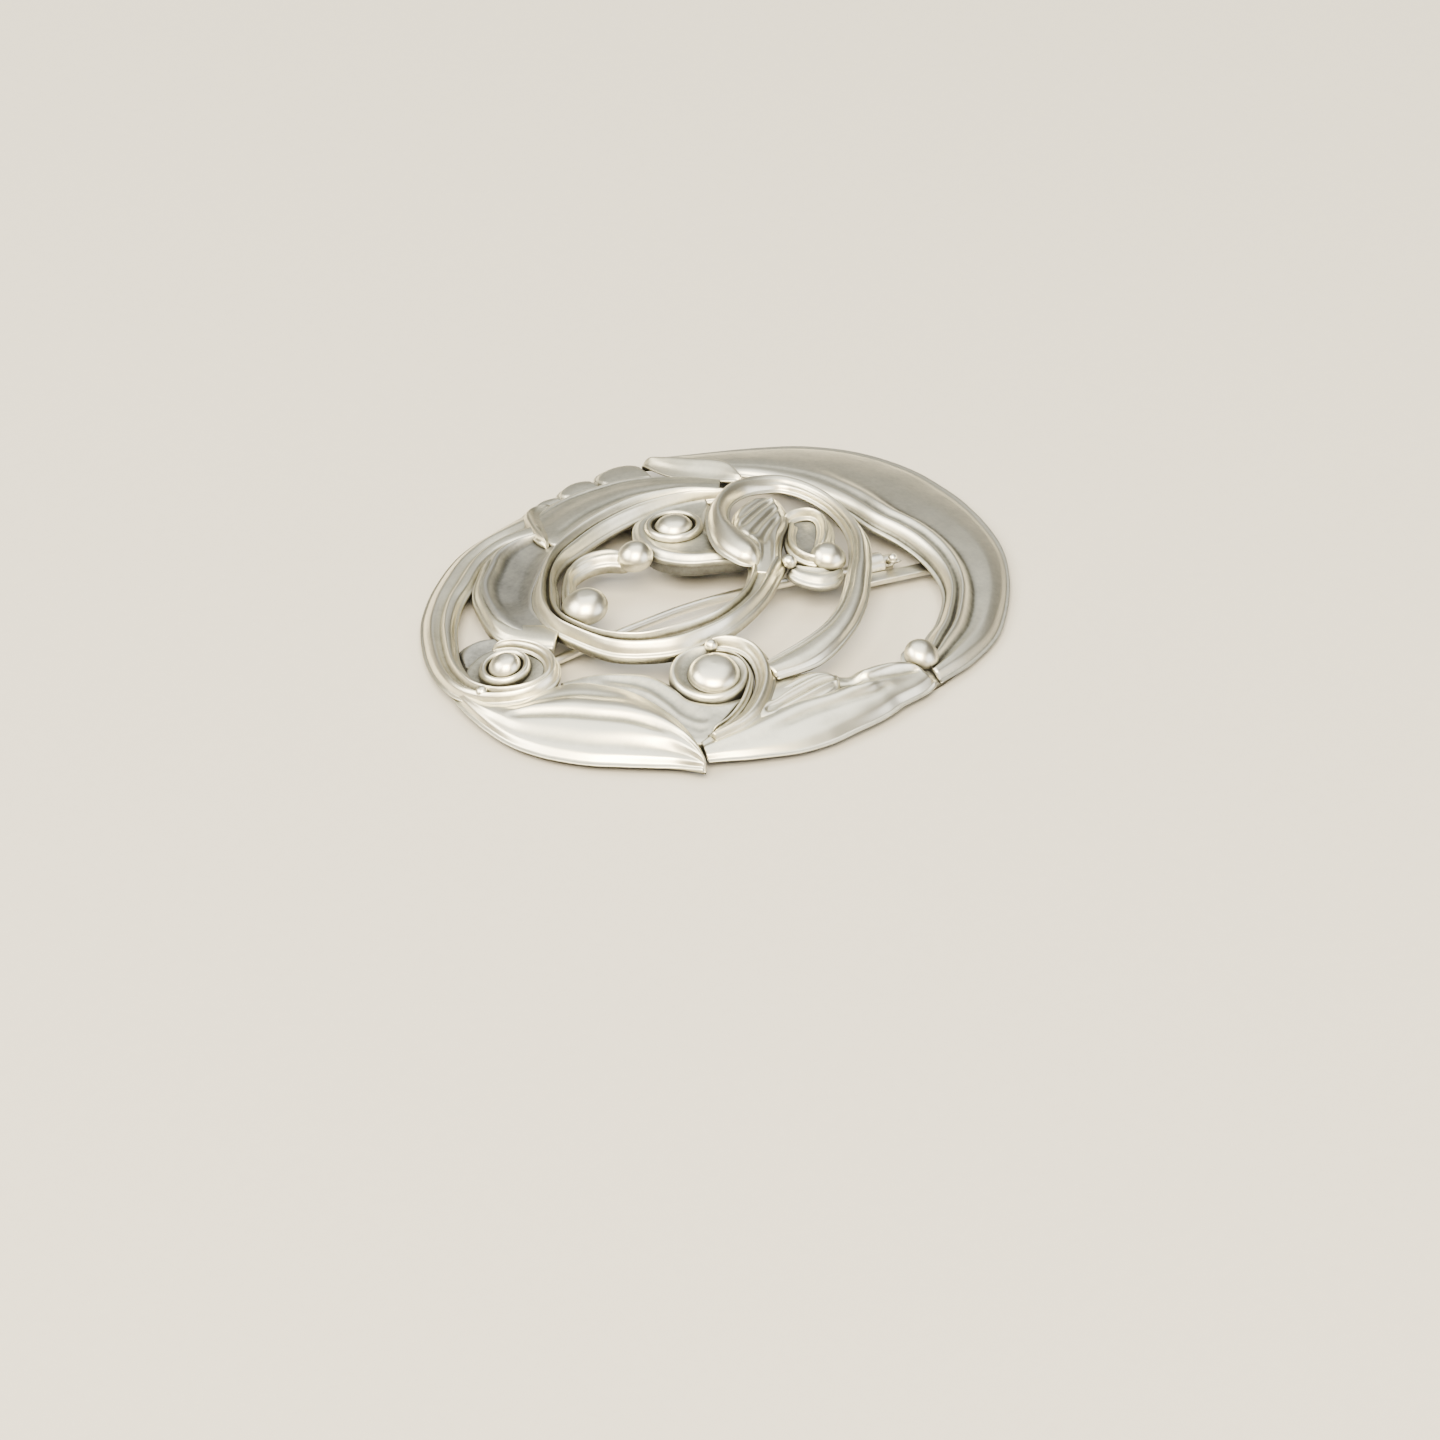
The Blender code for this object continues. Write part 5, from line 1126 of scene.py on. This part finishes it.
def paleFloor():
    # matt studio paper: pale, a little uneven with fibres about 1 mm long, no gloss
    material = bpy.data.materials.new("mattStudioPaper")
    material.use_nodes = True
    tree = material.node_tree
    shader = tree.nodes["Principled BSDF"]
    place = addNode(tree, "ShaderNodeTexCoord").outputs["Object"]
    fibre = addNode(tree, "ShaderNodeTexNoise", None,
                    {"Vector": place, "Scale": 900.0, "Detail": 4.0}).outputs["Fac"]
    tone = addNode(tree, "ShaderNodeMapRange", None,
                   {"Value": fibre, "To Min": 0.97, "To Max": 1.03}).outputs["Result"]
    colour = addNode(tree, "ShaderNodeVectorMath", {"operation": "SCALE"},
                     {0: linearColour(room["floor"])[:3], "Scale": tone}).outputs["Vector"]
    tree.links.new(colour, shader.inputs["Base Color"])
    shader.inputs["Roughness"].default_value = 0.85
    bpy.ops.mesh.primitive_plane_add(size=room["floorSize"], location=(0, 0, -room["floorGap"]))
    floor = bpy.context.object
    floor.name = "studioFloor"
    floor.data.materials.append(material)


def softLight(name, where, size, watts, tint):
    data = bpy.data.lights.new(name, "AREA")
    data.shape = "RECTANGLE"
    data.size, data.size_y = size
    data.energy = watts
    data.color = linearColour(tint)[:3]
    lamp = bpy.data.objects.new(name, data)
    lamp.location = where
    lamp.rotation_euler = (-Vector(where)).to_track_quat("-Z", "Y").to_euler()
    bpy.context.collection.objects.link(lamp)


def studio():
    paleFloor()
    for name, box in room["boxes"].items():
        softLight(name, *box)
    world = bpy.data.worlds.new("studioAir")
    world.use_nodes = True
    sky = world.node_tree.nodes["Background"]
    sky.inputs["Color"].default_value = linearColour(room["sky"])
    sky.inputs["Strength"].default_value = room["skyStrength"]
    bpy.context.scene.world = world


def studioCamera():
    data = bpy.data.cameras.new("camera")
    data.lens = room["lens"]
    data.sensor_width = 36.0
    data.clip_start = 0.01
    camera = bpy.data.objects.new("camera", data)
    camera.location = room["cameraAt"]
    forward, right = Vector(room["cameraForward"]), Vector(room["cameraRight"])
    basis = np.array([right, right.cross(forward), -forward]).T
    camera.rotation_euler = Matrix(basis.tolist()).to_euler()
    bpy.context.collection.objects.link(camera)
    bpy.context.scene.camera = camera


studio()
studioCamera()
